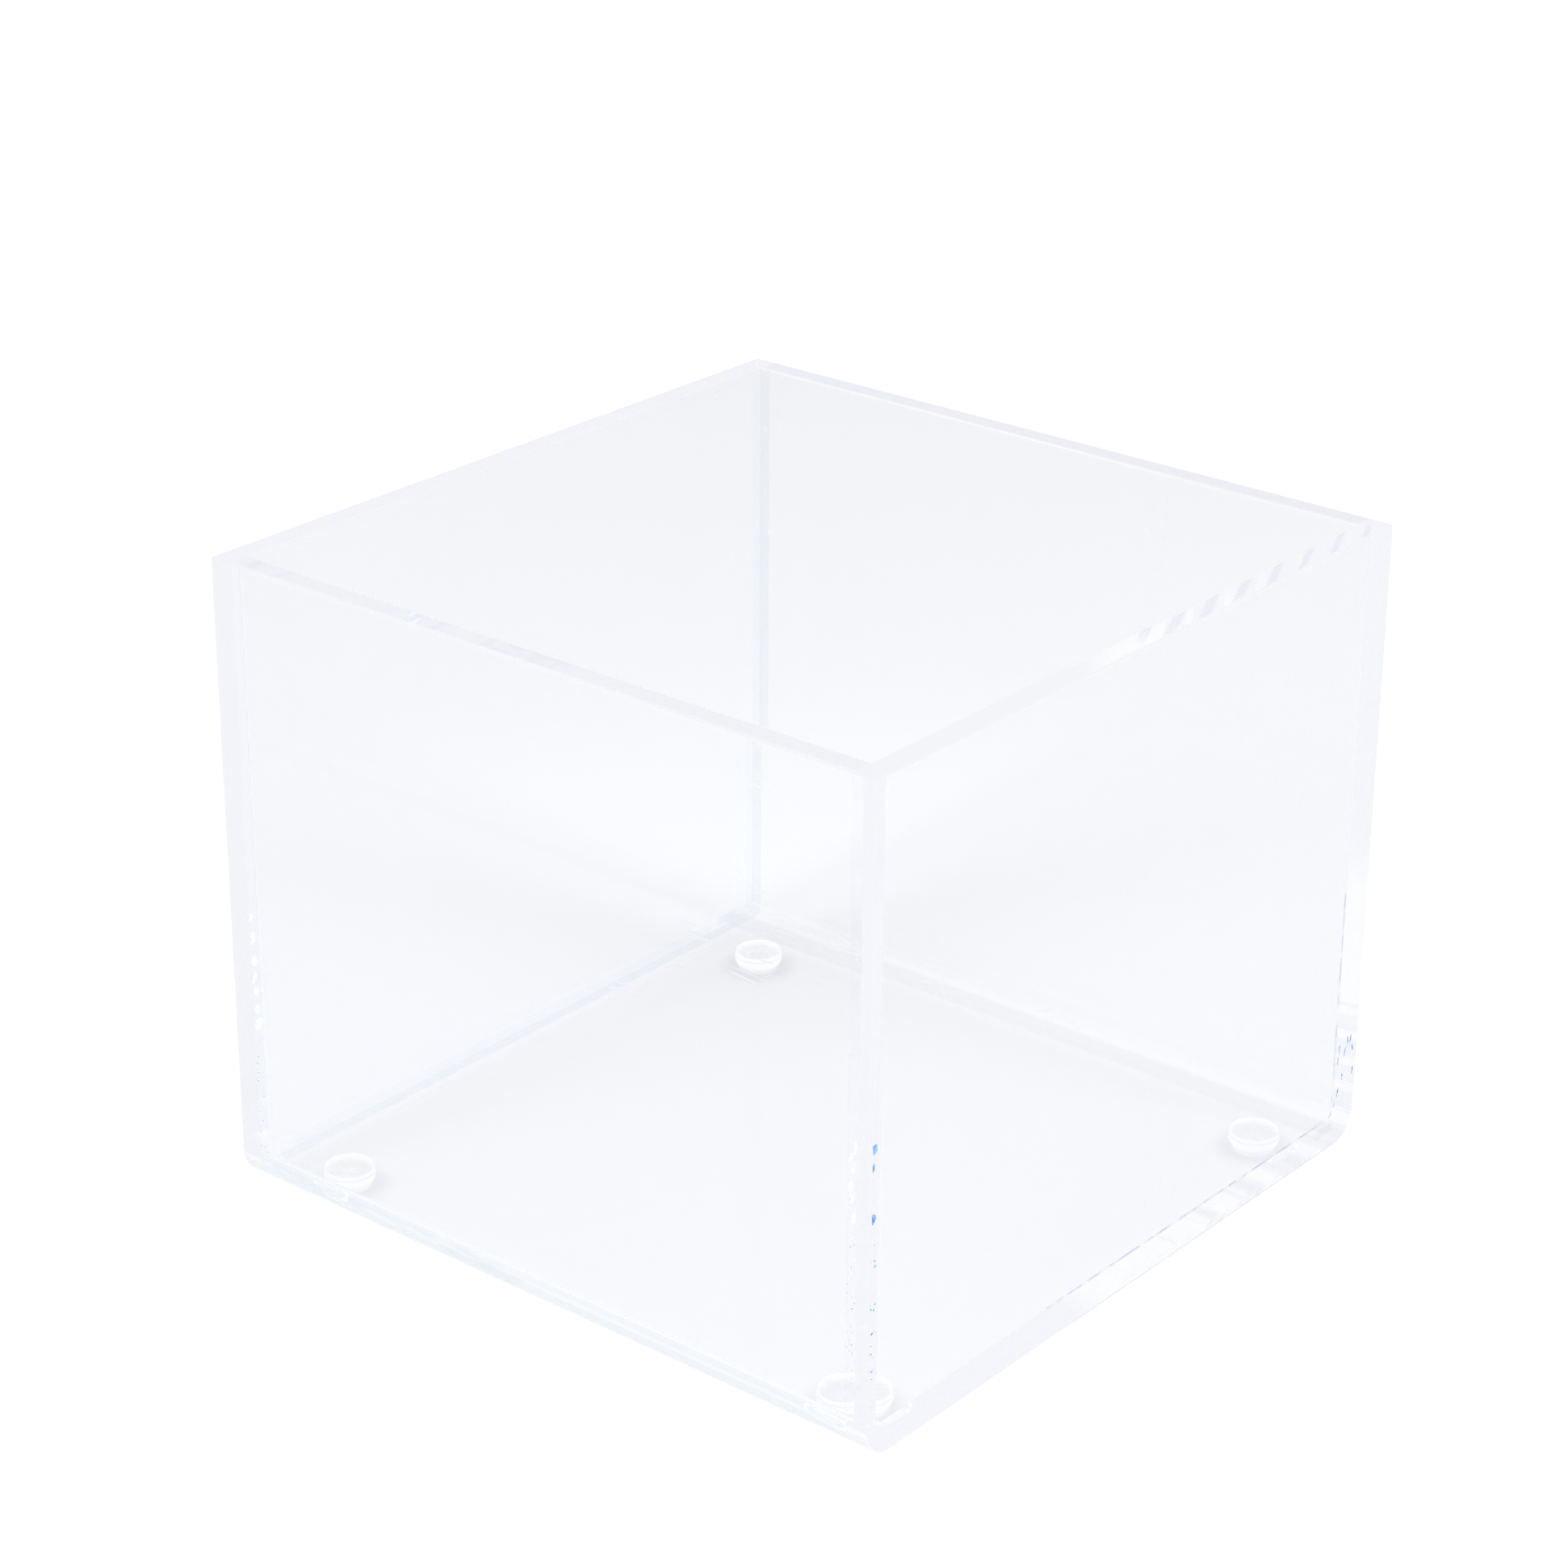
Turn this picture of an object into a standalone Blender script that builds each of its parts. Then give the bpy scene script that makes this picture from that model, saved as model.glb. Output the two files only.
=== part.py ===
"""Clear acrylic storage box, open at the top.

One sheet is bent twice into a U that makes the front wall, the floor and the back wall. Two flat end
panels close the U, each cemented to it along a thin U-shaped seam. Four clear dome feet are stuck
under the floor with adhesive pads. Nothing on the box moves.

X runs along the bends from the left end panel to the right one, Y from the front wall to the back
wall, and Z up. The origin is on the surface that the box stands on, under the middle of the floor.
Every length is in metres.
"""

import math
from dataclasses import dataclass

import bmesh
import bpy

# Box
BOX_LENGTH = 0.1524  # over both end panels
BOX_DEPTH = 0.1524  # over the front and back walls
BOX_HEIGHT = 0.127  # from the floor's underside to the rim

# Acrylic sheet, the same stock for all three pieces
SHEET_THICKNESS = 0.00476
INNER_BEND_RADIUS = 0.0016
EDGE_BREAK = 0.0005  # sharp saw-cut edges are scraped back by this much

# Joints
CEMENT_THICKNESS = 0.0003
SEAT_GAP = 0.0003  # left between each piece and the one it sits on

# Feet
FOOT_DIAMETER = 0.01
FOOT_HEIGHT = 0.003
FOOT_SKIRT_HEIGHT = 0.0005  # straight side next to the adhesive
FOOT_TIP_DIAMETER = 0.004  # flat that meets the table
FOOT_INSET = 0.0155  # from the box's outer faces to a foot's middle
PAD_SETBACK = 0.0003  # from a foot's edge in to its adhesive pad's edge
PAD_THICKNESS = 0.0003

# Places closer together than this count as one
SAME_PLACE = 0.00001

# Facets
BEND_SEGMENTS = 12
BREAK_SEGMENTS = 2
DOME_SEGMENTS = 10
TURN_STEPS = 48
SHARP_ANGLE = math.radians(35)

# Sizes that follow from the ones above
OUTER_BEND_RADIUS = INNER_BEND_RADIUS + SHEET_THICKNESS
JOINT_WIDTH = SEAT_GAP + CEMENT_THICKNESS + SEAT_GAP
SHEET_LENGTH = BOX_LENGTH - 2 * (SHEET_THICKNESS + JOINT_WIDTH)
PAD_HEIGHT = FOOT_HEIGHT + SEAT_GAP
FLOOR_HEIGHT = PAD_HEIGHT + PAD_THICKNESS + SEAT_GAP


@dataclass(frozen=True)
class Finish:
    """Colour and surface of one kind of clear plastic."""

    colour: tuple
    roughness: float
    refraction: float
    metallic: float = 0.0
    clearness: float = 1.0


CLEAR_ACRYLIC = Finish(colour=(0.95, 0.96, 0.985), roughness=0.03, refraction=1.49)
CEMENT_FILM = Finish(colour=(0.80, 0.89, 0.95), roughness=0.12, refraction=1.47)
CLEAR_URETHANE = Finish(colour=(0.94, 0.95, 0.96), roughness=0.15, refraction=1.5)
ADHESIVE_FILM = Finish(colour=(0.92, 0.93, 0.94), roughness=0.3, refraction=1.47)


def clear_scene():
    """Remove the objects that a new file starts with."""
    for thing in list(bpy.data.objects):
        bpy.data.objects.remove(thing, do_unlink=True)


def new_collection(name):
    """Return a new collection linked to the scene."""
    collection = bpy.data.collections.new(name)
    bpy.context.scene.collection.children.link(collection)
    return collection


def dress(piece, finish):
    """Give a piece a material of its own with the given finish."""
    material = bpy.data.materials.new(f"{piece.name}_finish")
    material.use_nodes = True
    shader = material.node_tree.nodes["Principled BSDF"]
    shader.inputs["Base Color"].default_value = (*finish.colour, 1.0)
    shader.inputs["Roughness"].default_value = finish.roughness
    shader.inputs["Metallic"].default_value = finish.metallic
    shader.inputs["IOR"].default_value = finish.refraction
    shader.inputs["Transmission Weight"].default_value = finish.clearness
    piece.data.materials.append(material)


def new_object(name, mesh, collection):
    """Return a new object that holds the mesh."""
    piece = bpy.data.objects.new(name, mesh)
    collection.objects.link(piece)
    return piece


def mesh_from(name, bm):
    """Turn the working mesh into a finished one and free it."""
    mesh = bpy.data.meshes.new(name)
    bm.to_mesh(mesh)
    bm.free()
    return mesh


def apply_modifiers(piece):
    """Replace a piece's mesh with what its modifiers make of it."""
    graph = bpy.context.evaluated_depsgraph_get()
    made = bpy.data.meshes.new_from_object(piece.evaluated_get(graph))
    piece.modifiers.clear()
    piece.data = made


def shade(piece):
    """Shade round faces smooth and keep the true edges crisp."""
    piece.data.shade_smooth()
    piece.data.set_sharp_from_angle(angle=SHARP_ANGLE)


def break_edges(bm, chosen):
    """Round the chosen edges by the scraped width."""
    bmesh.ops.bevel(
        bm,
        geom=chosen,
        offset=EDGE_BREAK,
        offset_type="OFFSET",
        segments=BREAK_SEGMENTS,
        profile=0.5,
        affect="EDGES",
    )


def runs_along(edge, axis):
    """Tell whether an edge runs along one axis (0, 1 or 2) and no other."""
    span = edge.verts[1].co - edge.verts[0].co
    return all(abs(span[other]) < SAME_PLACE for other in range(3) if other != axis)


def folded_surface(name, length):
    """Make the U's outer face: two walls and a floor, with a round bend between them."""
    bm = bmesh.new()
    half_length = length / 2
    half_depth = BOX_DEPTH / 2
    corners = [
        (-half_length, half_depth, BOX_HEIGHT),
        (-half_length, half_depth, 0),
        (-half_length, -half_depth, 0),
        (-half_length, -half_depth, BOX_HEIGHT),
    ]
    points = [bm.verts.new(corner) for corner in corners]
    outline = [bm.edges.new(pair) for pair in zip(points, points[1:])]
    swept = bmesh.ops.extrude_edge_only(bm, edges=outline)
    moved = [item for item in swept["geom"] if isinstance(item, bmesh.types.BMVert)]
    bmesh.ops.translate(bm, verts=moved, vec=(length, 0, 0))
    bmesh.ops.recalc_face_normals(bm, faces=bm.faces)
    floor = min(bm.faces, key=lambda face: face.calc_center_median().z)
    if floor.normal.z > 0:
        bmesh.ops.reverse_faces(bm, faces=bm.faces)
    folds = [edge for edge in bm.edges if len(edge.link_faces) == 2]
    bmesh.ops.bevel(
        bm,
        geom=folds,
        offset=OUTER_BEND_RADIUS,
        offset_type="OFFSET",
        segments=BEND_SEGMENTS,
        profile=0.5,
        affect="EDGES",
    )
    return mesh_from(name, bm)


def folded_piece(name, length, collection):
    """Thicken the U's outer face inwards into a bent strip of sheet."""
    piece = new_object(name, folded_surface(name, length), collection)
    thicken = piece.modifiers.new("Sheet thickness", "SOLIDIFY")
    thicken.thickness = SHEET_THICKNESS
    thicken.offset = -1
    thicken.use_even_offset = True
    apply_modifiers(piece)
    return piece


def build_bent_sheet(collection):
    """Front wall, floor and back wall in one bent sheet, its rim edges scraped."""
    piece = folded_piece("bent_sheet", SHEET_LENGTH, collection)
    bm = bmesh.new()
    bm.from_mesh(piece.data)
    rim_level = BOX_HEIGHT - SAME_PLACE
    rim = [
        edge
        for edge in bm.edges
        if runs_along(edge, 0) and min(point.co.z for point in edge.verts) > rim_level
    ]
    break_edges(bm, rim)
    bm.to_mesh(piece.data)
    bm.free()
    piece.location.z = FLOOR_HEIGHT
    shade(piece)
    dress(piece, CLEAR_ACRYLIC)
    return piece


def build_end_panel(name, side, collection):
    """Flat panel with the U's outline, its lower corners rounded like the bends.

    Its outer face looks along +X before it is turned to its side of the box.
    """
    bm = bmesh.new()
    bmesh.ops.create_cube(bm, size=1)
    bmesh.ops.scale(bm, verts=bm.verts, vec=(SHEET_THICKNESS, BOX_DEPTH, BOX_HEIGHT))
    bmesh.ops.translate(bm, verts=bm.verts, vec=(0, 0, BOX_HEIGHT / 2))
    lower_corners = [
        edge
        for edge in bm.edges
        if runs_along(edge, 0) and max(point.co.z for point in edge.verts) < SAME_PLACE
    ]
    bmesh.ops.bevel(
        bm,
        geom=lower_corners,
        offset=OUTER_BEND_RADIUS,
        offset_type="OFFSET",
        segments=BEND_SEGMENTS,
        profile=0.5,
        affect="EDGES",
    )
    outer_face = SHEET_THICKNESS / 2 - SAME_PLACE
    rim_level = BOX_HEIGHT - SAME_PLACE
    scraped = [
        edge
        for edge in bm.edges
        if min(point.co.x for point in edge.verts) > outer_face
        or (runs_along(edge, 1) and min(point.co.z for point in edge.verts) > rim_level)
    ]
    break_edges(bm, scraped)
    piece = new_object(name, mesh_from(name, bm), collection)
    piece.location = (side * (BOX_LENGTH - SHEET_THICKNESS) / 2, 0, FLOOR_HEIGHT)
    piece.rotation_euler.z = 0 if side > 0 else math.pi
    shade(piece)
    dress(piece, CLEAR_ACRYLIC)
    return piece


def build_cement_seam(name, side, collection):
    """Thin U of set cement between one end of the bent sheet and its end panel."""
    piece = folded_piece(name, CEMENT_THICKNESS, collection)
    reach = SHEET_LENGTH / 2 + SEAT_GAP + CEMENT_THICKNESS / 2
    piece.location = (side * reach, 0, FLOOR_HEIGHT)
    shade(piece)
    dress(piece, CEMENT_FILM)
    return piece


def dome_profile():
    """Half section of a foot from its upper middle, down its outer side, to the middle of its tip."""
    radius = FOOT_DIAMETER / 2
    tip_radius = FOOT_TIP_DIAMETER / 2
    dome_height = FOOT_HEIGHT - FOOT_SKIRT_HEIGHT
    profile = [(0, FOOT_HEIGHT), (radius, FOOT_HEIGHT)]
    for step in range(DOME_SEGMENTS + 1):
        angle = math.pi / 2 * step / DOME_SEGMENTS
        out = tip_radius + (radius - tip_radius) * math.cos(angle)
        up = dome_height * (1 - math.sin(angle))
        profile.append((out, up))
    profile.append((0, 0))
    return profile


def pad_profile():
    """Half section of an adhesive pad, from its upper middle to its lower middle."""
    radius = FOOT_DIAMETER / 2 - PAD_SETBACK
    return [(0, PAD_THICKNESS), (radius, PAD_THICKNESS), (radius, 0), (0, 0)]


def turned_piece(name, profile, collection):
    """Turn a half section once round the Z axis."""
    bm = bmesh.new()
    points = [bm.verts.new((out, 0, up)) for out, up in profile]
    for pair in zip(points, points[1:]):
        bm.edges.new(pair)
    piece = new_object(name, mesh_from(name, bm), collection)
    turn = piece.modifiers.new("Turn", "SCREW")
    turn.steps = TURN_STEPS
    turn.render_steps = TURN_STEPS
    turn.use_merge_vertices = True
    turn.merge_threshold = SAME_PLACE
    apply_modifiers(piece)
    shade(piece)
    return piece


def build_foot(place_name, along, across, collection):
    """One dome foot and the adhesive pad that holds it under the floor."""
    foot = turned_piece(f"{place_name}_foot", dome_profile(), collection)
    foot.location = (along, across, 0)
    dress(foot, CLEAR_URETHANE)
    pad = turned_piece(f"{place_name}_adhesive_pad", pad_profile(), collection)
    pad.location = (along, across, PAD_HEIGHT)
    dress(pad, ADHESIVE_FILM)
    return [foot, pad]


def build_feet(collection):
    """Four feet, one near each corner of the floor."""
    reach_along = BOX_LENGTH / 2 - FOOT_INSET
    reach_across = BOX_DEPTH / 2 - FOOT_INSET
    pieces = []
    for depth_name, across in (("front", -reach_across), ("back", reach_across)):
        for end_name, along in (("left", -reach_along), ("right", reach_along)):
            pieces += build_foot(f"{depth_name}_{end_name}", along, across, collection)
    return pieces


def build_box():
    """Build every piece and hang it on one empty at the origin."""
    clear_scene()
    collection = new_collection("storage_box")
    pieces = [build_bent_sheet(collection)]
    for end_name, side in (("left", -1), ("right", 1)):
        pieces.append(build_end_panel(f"{end_name}_end_panel", side, collection))
        pieces.append(build_cement_seam(f"{end_name}_cement_seam", side, collection))
    pieces += build_feet(collection)
    carrier = new_object("storage_box_carrier", None, collection)
    for piece in pieces:
        piece.parent = carrier


if __name__ == "__main__":
    build_box()
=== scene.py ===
"""Looks of the clear acrylic storage box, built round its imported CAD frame."""

import logging
import math
import random
from dataclasses import dataclass, replace
from enum import Enum, IntEnum

import bmesh
import bpy
from mathutils import Matrix, Vector


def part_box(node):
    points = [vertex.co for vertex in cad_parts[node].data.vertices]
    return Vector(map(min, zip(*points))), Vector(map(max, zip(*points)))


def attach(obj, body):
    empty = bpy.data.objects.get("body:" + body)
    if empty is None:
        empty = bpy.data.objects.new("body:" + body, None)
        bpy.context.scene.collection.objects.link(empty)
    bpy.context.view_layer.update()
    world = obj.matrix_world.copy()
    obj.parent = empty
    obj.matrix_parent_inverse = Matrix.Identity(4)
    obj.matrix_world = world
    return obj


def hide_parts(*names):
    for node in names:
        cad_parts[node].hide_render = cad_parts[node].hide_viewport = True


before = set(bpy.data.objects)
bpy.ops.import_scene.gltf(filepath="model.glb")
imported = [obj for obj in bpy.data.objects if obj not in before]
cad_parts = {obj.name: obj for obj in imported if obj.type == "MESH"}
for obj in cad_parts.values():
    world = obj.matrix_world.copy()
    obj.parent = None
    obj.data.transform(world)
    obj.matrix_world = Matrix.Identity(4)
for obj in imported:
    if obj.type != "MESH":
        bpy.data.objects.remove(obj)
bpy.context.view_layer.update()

log = logging.getLogger("storage_box")

Rgb = tuple[float, float, float]
Socket = bpy.types.NodeSocket
Mesh = bmesh.types.BMesh
Face = bmesh.types.BMFace
Edge = bmesh.types.BMEdge

BODY = "root"

RIGHTWARDS = (1.0, 0.0, 0.0)
BACKWARDS = (0.0, 1.0, 0.0)
UPWARDS = (0.0, 0.0, 1.0)

# Places nearer to each other than this count as one
NEARLY = 0.00001
TOUCHING = NEARLY / 10
# Faces that light passes as one are still drawn this far apart
CLOSE_FIT = 0.00001
# How much of its normal a face has along an axis that it hardly, roughly or squarely looks along
HARDLY = 0.1
ROUGHLY = 0.9
SQUARELY = 0.99
SHARP_ANGLE = math.radians(35)

ACRYLIC_IOR = 1.49
RUBBER_IOR = 1.5

# Light in clear sheet turns back many times before it comes out at an edge
MOST_TURNS = 28
MOST_CLEAR_STEPS = 64
LOST_AFTER = 9
HELD_LIGHT = (0.92, 0.93, 0.962)


class Side(Enum):
    """The two ends of the box, by the sign of X."""

    LEFT = -1
    RIGHT = 1

    @property
    def label(self) -> str:
        """The side's name as the CAD nodes spell it."""
        return self.name.lower()


class Corner(Enum):
    """The four corners of the floor."""

    FRONT_LEFT = "front_left"
    FRONT_RIGHT = "front_right"
    BACK_LEFT = "back_left"
    BACK_RIGHT = "back_right"


class Zone(IntEnum):
    """The finishes on a piece of sheet, which are its material slots."""

    POLISHED = 0
    CUT = 1
    BONDED = 2
    EASED = 3
    FRONT_BEND = 4
    BACK_BEND = 5


@dataclass(frozen=True)
class Mottle:
    """Soft patches: a noise of so many waves per metre, drawn out between two of its grey values."""

    scale: float
    bare_below: float
    full_above: float
    detail: float = 2.0
    roughness: float = 0.5


class Graph:
    """Short ways to place and join the nodes of one node tree."""

    def __init__(self, tree: bpy.types.NodeTree) -> None:
        """Takes the tree and empties it.

        Args:
            tree: The node tree to fill.
        """
        self.tree = tree
        tree.nodes.clear()

    def node(self, kind: str, **settings: object) -> bpy.types.Node:
        """Places a node.

        Args:
            kind: The node's type, without the leading ShaderNode.
            settings: Properties of the node to set.

        Returns:
            The new node.
        """
        made = self.tree.nodes.new("ShaderNode" + kind)
        for name, value in settings.items():
            setattr(made, name, value)
        return made

    def put(self, target: Socket, source: object) -> None:
        """Feeds an input.

        Args:
            target: The input socket.
            source: An output socket, or a plain value, which is three numbers for a colour.
        """
        if isinstance(source, Socket):
            self.tree.links.new(source, target)
        else:
            target.default_value = (*source, 1.0) if target.type == "RGBA" else source

    def feed(self, node: bpy.types.Node, **values: object) -> bpy.types.Node:
        """Feeds a node's inputs by their names.

        Args:
            node: The node.
            values: What each input gets, with _ for a space in its name.

        Returns:
            The same node.
        """
        for name, source in values.items():
            self.put(node.inputs[name.replace("_", " ")], source)
        return node

    def shader(self, kind: str, **values: object) -> Socket:
        """The output of a new shader node with these inputs."""
        return self.feed(self.node(kind), **values).outputs[0]

    def math(self, operation: str, *operands: object) -> Socket:
        """Places a Math node.

        Args:
            operation: The operation's name in capitals.
            operands: As many sockets or numbers as it takes.

        Returns:
            The result's socket.
        """
        made = self.node("Math", operation=operation)
        for target, source in zip(made.inputs, operands):
            self.put(target, source)
        return made.outputs[0]

    def times(self, first: object, *others: object) -> Socket:
        """Multiplies sockets or numbers, which are masks most often.

        Args:
            first: The first factor.
            others: The other factors.

        Returns:
            The product's socket.
        """
        for other in others:
            first = self.math("MULTIPLY", first, other)
        return first

    def vector_math(self, operation: str, first: object, second: object) -> Socket:
        """Places a Vector Math node.

        Args:
            operation: The operation's name in capitals.
            first: The first operand, a socket or three numbers.
            second: The second operand, which is a number for a scale.

        Returns:
            The vector result's socket, or the number for a dot product or a distance.
        """
        made = self.node("VectorMath", operation=operation)
        self.put(made.inputs[0], first)
        self.put(made.inputs["Scale" if operation == "SCALE" else 1], second)
        return made.outputs["Value" if operation in ("DOT_PRODUCT", "DISTANCE") else "Vector"]

    def along(self, place: object, way: object) -> Socket:
        """How far a place lies along a direction."""
        return self.vector_math("DOT_PRODUCT", place, way)

    def noise(self, vector: object, scale: object, detail: float = 2.0, roughness: float = 0.5) -> Socket:
        """Places a Noise Texture node.

        Args:
            vector: The coordinates' socket.
            scale: The pattern's scale, in waves per metre.
            detail: How many finer layers it has.
            roughness: How strong the finer layers are.

        Returns:
            The socket of its grey value, about 0.5 on average.
        """
        made = self.node("TexNoise")
        self.feed(made, Vector=vector, Scale=scale, Detail=detail, Roughness=roughness)
        return made.outputs["Fac"]

    def band(self, value: object, start: object, end: object, low: float = 0.0, high: float = 1.0) -> Socket:
        """Places a Map Range node that turns smoothly from low to high.

        Args:
            value: The number to map.
            start: Where the turn starts.
            end: Where it ends.
            low: The result before start.
            high: The result after end.

        Returns:
            The result's socket.
        """
        made = self.node("MapRange", interpolation_type="SMOOTHSTEP")
        self.feed(made, Value=value, From_Min=start, From_Max=end, To_Min=low, To_Max=high)
        return made.outputs[0]

    def mottle(self, place: object, kind: Mottle) -> Socket:
        """The mask of soft patches, 0 where the surface is bare and 1 in a patch."""
        noise = self.noise(place, kind.scale, kind.detail, kind.roughness)
        return self.band(noise, kind.bare_below, kind.full_above)

    def fade(self, value: object, start: object, end: object) -> Socket:
        """A smooth turn from 1 down to 0."""
        return self.band(value, start, end, 1.0, 0.0)

    def mix_colour(self, factor: object, first: object, second: object) -> Socket:
        """Places a Mix node for colours.

        Args:
            factor: How much of the second colour there is.
            first: The first colour, a socket or three numbers.
            second: The second colour.

        Returns:
            The mixed colour's socket.
        """
        made = self.node("Mix", data_type="RGBA")
        for place, source in ((0, factor), (6, first), (7, second)):
            self.put(made.inputs[place], source)
        return made.outputs[2]

    def mix_shader(self, factor: object, first: Socket, second: Socket) -> Socket:
        """Places a Mix Shader node.

        Args:
            factor: How much of the second shader there is.
            first: The first shader.
            second: The second shader.

        Returns:
            The mixed shader's socket.
        """
        made = self.node("MixShader")
        for target, source in zip(made.inputs, (factor, first, second)):
            self.put(target, source)
        return made.outputs[0]


class Effect(Graph):
    """The graph of a shader node group, which is an effect that several finishes use."""

    def __init__(self, name: str, inputs: dict[str, object], outputs: tuple[str, ...] = ("Mask",)) -> None:
        """Makes the empty group with its named sockets.

        Args:
            name: The group's name.
            inputs: The default of each input but the place, where three numbers make it a vector.
            outputs: The names of its outputs, which are numbers.
        """
        super().__init__(bpy.data.node_groups.new(name, "ShaderNodeTree"))
        sockets = self.tree.interface
        sockets.new_socket("Vector", in_out="INPUT", socket_type="NodeSocketVector")
        for label, default in inputs.items():
            kind = "NodeSocketVector" if isinstance(default, tuple) else "NodeSocketFloat"
            sockets.new_socket(label, in_out="INPUT", socket_type=kind).default_value = default
        for label in outputs:
            sockets.new_socket(label, in_out="OUTPUT", socket_type="NodeSocketFloat")
        self.entry = self.tree.nodes.new("NodeGroupInput")
        self.leave = self.tree.nodes.new("NodeGroupOutput")
        self.place = self.given("Vector")

    def given(self, name: str) -> Socket:
        """One of the group's inputs, as the nodes inside it read it."""
        return self.entry.outputs[name]

    def give(self, **results: object) -> bpy.types.NodeTree:
        """Feeds the group's outputs and hands over its tree."""
        self.feed(self.leave, **results)
        return self.tree


def cast_waviness() -> bpy.types.NodeTree:
    """The slow, shallow waves of cast sheet.

    Returns:
        A group that puts out Height.
    """
    effect = Effect("cast_waviness", {"Scale": 25.0}, ("Height",))
    return effect.give(Height=effect.noise(effect.place, effect.given("Scale"), detail=1.0))


def hairline_scratches() -> bpy.types.NodeTree:
    """Sparse hairline scratches from wiping, in two crossing directions.

    Returns:
        A group that puts out Mask, 1 in a scratch.
    """
    fineness, spread, width = 900.0, 0.35, 0.02
    effect = Effect("hairline_scratches", {"Amount": 0.3})
    masks = []
    for turn, length, patches in ((0.45, 60.0, 150.0), (-0.8, 45.0, 135.0)):
        turned = effect.feed(effect.node("Mapping"), Vector=effect.place,
                             Rotation=(turn, turn * 0.7, turn * 1.3), Scale=(length, fineness, fineness))
        cells = effect.feed(effect.node("TexVoronoi", feature="DISTANCE_TO_EDGE"), Scale=spread,
                            Vector=turned.outputs["Vector"])
        line = effect.fade(cells.outputs["Distance"], 0.0, width)
        masks.append(effect.times(line, effect.mottle(effect.place, Mottle(patches, 0.58, 0.68))))
    return effect.give(Mask=effect.times(effect.math("MAXIMUM", *masks), effect.given("Amount")))


def handling_smudges() -> bpy.types.NodeTree:
    """Faint smears left by handling.

    Returns:
        A group that puts out Mask, 1 in a smear.
    """
    effect = Effect("handling_smudges", {"Amount": 0.5})
    broad = effect.mottle(effect.place, Mottle(28.0, 0.5, 0.72, detail=3.0))
    fine = effect.mottle(effect.place, Mottle(240.0, 0.35, 0.7, detail=4.0, roughness=0.6))
    return effect.give(Mask=effect.times(broad, fine, effect.given("Amount")))


def bumps_and_mirrored_patches() -> bpy.types.NodeTree:
    """Evenly spaced patches of fine slanted lines, on one run of an edge, with bumps: painted reflections,
    the repeated images of the corner that the sheet carries along it.

    Returns:
        A group that puts out Height, Mask, which is 1 in a patch, and Run, which is 1 all along.
    """
    wander, run_in, run_out = 0.0012, 0.006, 0.003
    rarest, patch_fade, faintest_line = 0.5, 0.5, 0.3
    line_from, line_to = -0.6, 0.9
    # Chatter Pitch is the spacing of the patches of painted reflection
    effect = Effect("bumps_and_mirrored_patches", {
        "Along": RIGHTWARDS, "From": 0.0, "To": 0.1, "Chatter Pitch": 0.01, "Phase": 0.0, "Lean": 1.0,
        "Tooth Pitch": 0.001, "Slant": 0.2}, ("Height", "Mask", "Run"))
    start, end = effect.given("From"), effect.given("To")
    along = effect.along(effect.place, effect.given("Along"))
    across = effect.along(effect.place, RIGHTWARDS)
    uneven = effect.math("MULTIPLY_ADD", effect.noise(effect.place, 90.0), wander, along)
    leaning = effect.math("MULTIPLY_ADD", across, effect.given("Lean"), uneven)
    step = effect.math("DIVIDE", effect.math("SUBTRACT", leaning, effect.given("Phase")),
                       effect.given("Chatter Pitch"))
    swell = effect.math("SINE", effect.times(step, math.tau))
    rarer = effect.band(along, start, end, high=rarest)
    patch = effect.band(swell, rarer, effect.math("ADD", rarer, patch_fade))
    slanted = effect.math("MULTIPLY_ADD", uneven, effect.given("Slant"), across)
    teeth = effect.math("DIVIDE", slanted, effect.given("Tooth Pitch"))
    line = effect.band(effect.math("SINE", effect.times(teeth, math.tau)), line_from, line_to)
    run = effect.times(effect.band(along, start, effect.math("ADD", start, run_in)),
                       effect.fade(along, effect.math("SUBTRACT", end, run_out), end))
    kept = effect.times(patch, run)
    return effect.give(
        Mask=effect.times(kept, effect.band(line, 0.0, 1.0, low=faintest_line)), Run=run,
        Height=effect.math("MULTIPLY_ADD", line, kept, effect.times(swell, run)))


def edge_stains() -> bpy.types.NodeTree:
    """Stains that lie along a scraped edge, and the scraper's long shallow lines.

    Returns:
        A group that puts out Mask, 1 in a stain, and Scrape, a height.
    """
    squeeze, stain_fade, aside = 0.93, 0.09, (0.05, 0.03, 0.01)
    effect = Effect("edge_stains", {"Along": RIGHTWARDS, "Share": 0.4}, ("Mask", "Scrape"))
    way = effect.given("Along")
    squeezed = effect.vector_math("SCALE", way, effect.times(effect.along(effect.place, way), -squeeze))
    stretched = effect.vector_math("ADD", effect.place, squeezed)
    broad = effect.noise(stretched, 330.0, roughness=0.6)
    bare = effect.math("SUBTRACT", 1.0, effect.given("Share"))
    elsewhere = effect.vector_math("ADD", stretched, aside)
    return effect.give(Mask=effect.band(broad, bare, effect.math("ADD", bare, stain_fade)),
                       Scrape=effect.noise(elsewhere, 1500.0, detail=3.0, roughness=0.6))


def dust_specks() -> bpy.types.NodeTree:
    """A few dust specks, far apart.

    Returns:
        A group that puts out Mask, 1 in a speck.
    """
    empty_share = 0.6
    effect = Effect("dust_specks", {"Spacing": 0.02, "Size": 0.0003})
    size, spacing = effect.given("Size"), effect.given("Spacing")
    cells = effect.feed(effect.node("TexVoronoi", feature="F1"), Vector=effect.place,
                        Scale=effect.math("DIVIDE", 1.0, spacing))
    near = effect.fade(cells.outputs["Distance"], 0.0, effect.math("DIVIDE", size, spacing))
    chosen = effect.math("GREATER_THAN", effect.along(cells.outputs["Color"], RIGHTWARDS), empty_share)
    return effect.give(Mask=effect.times(near, chosen))


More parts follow.
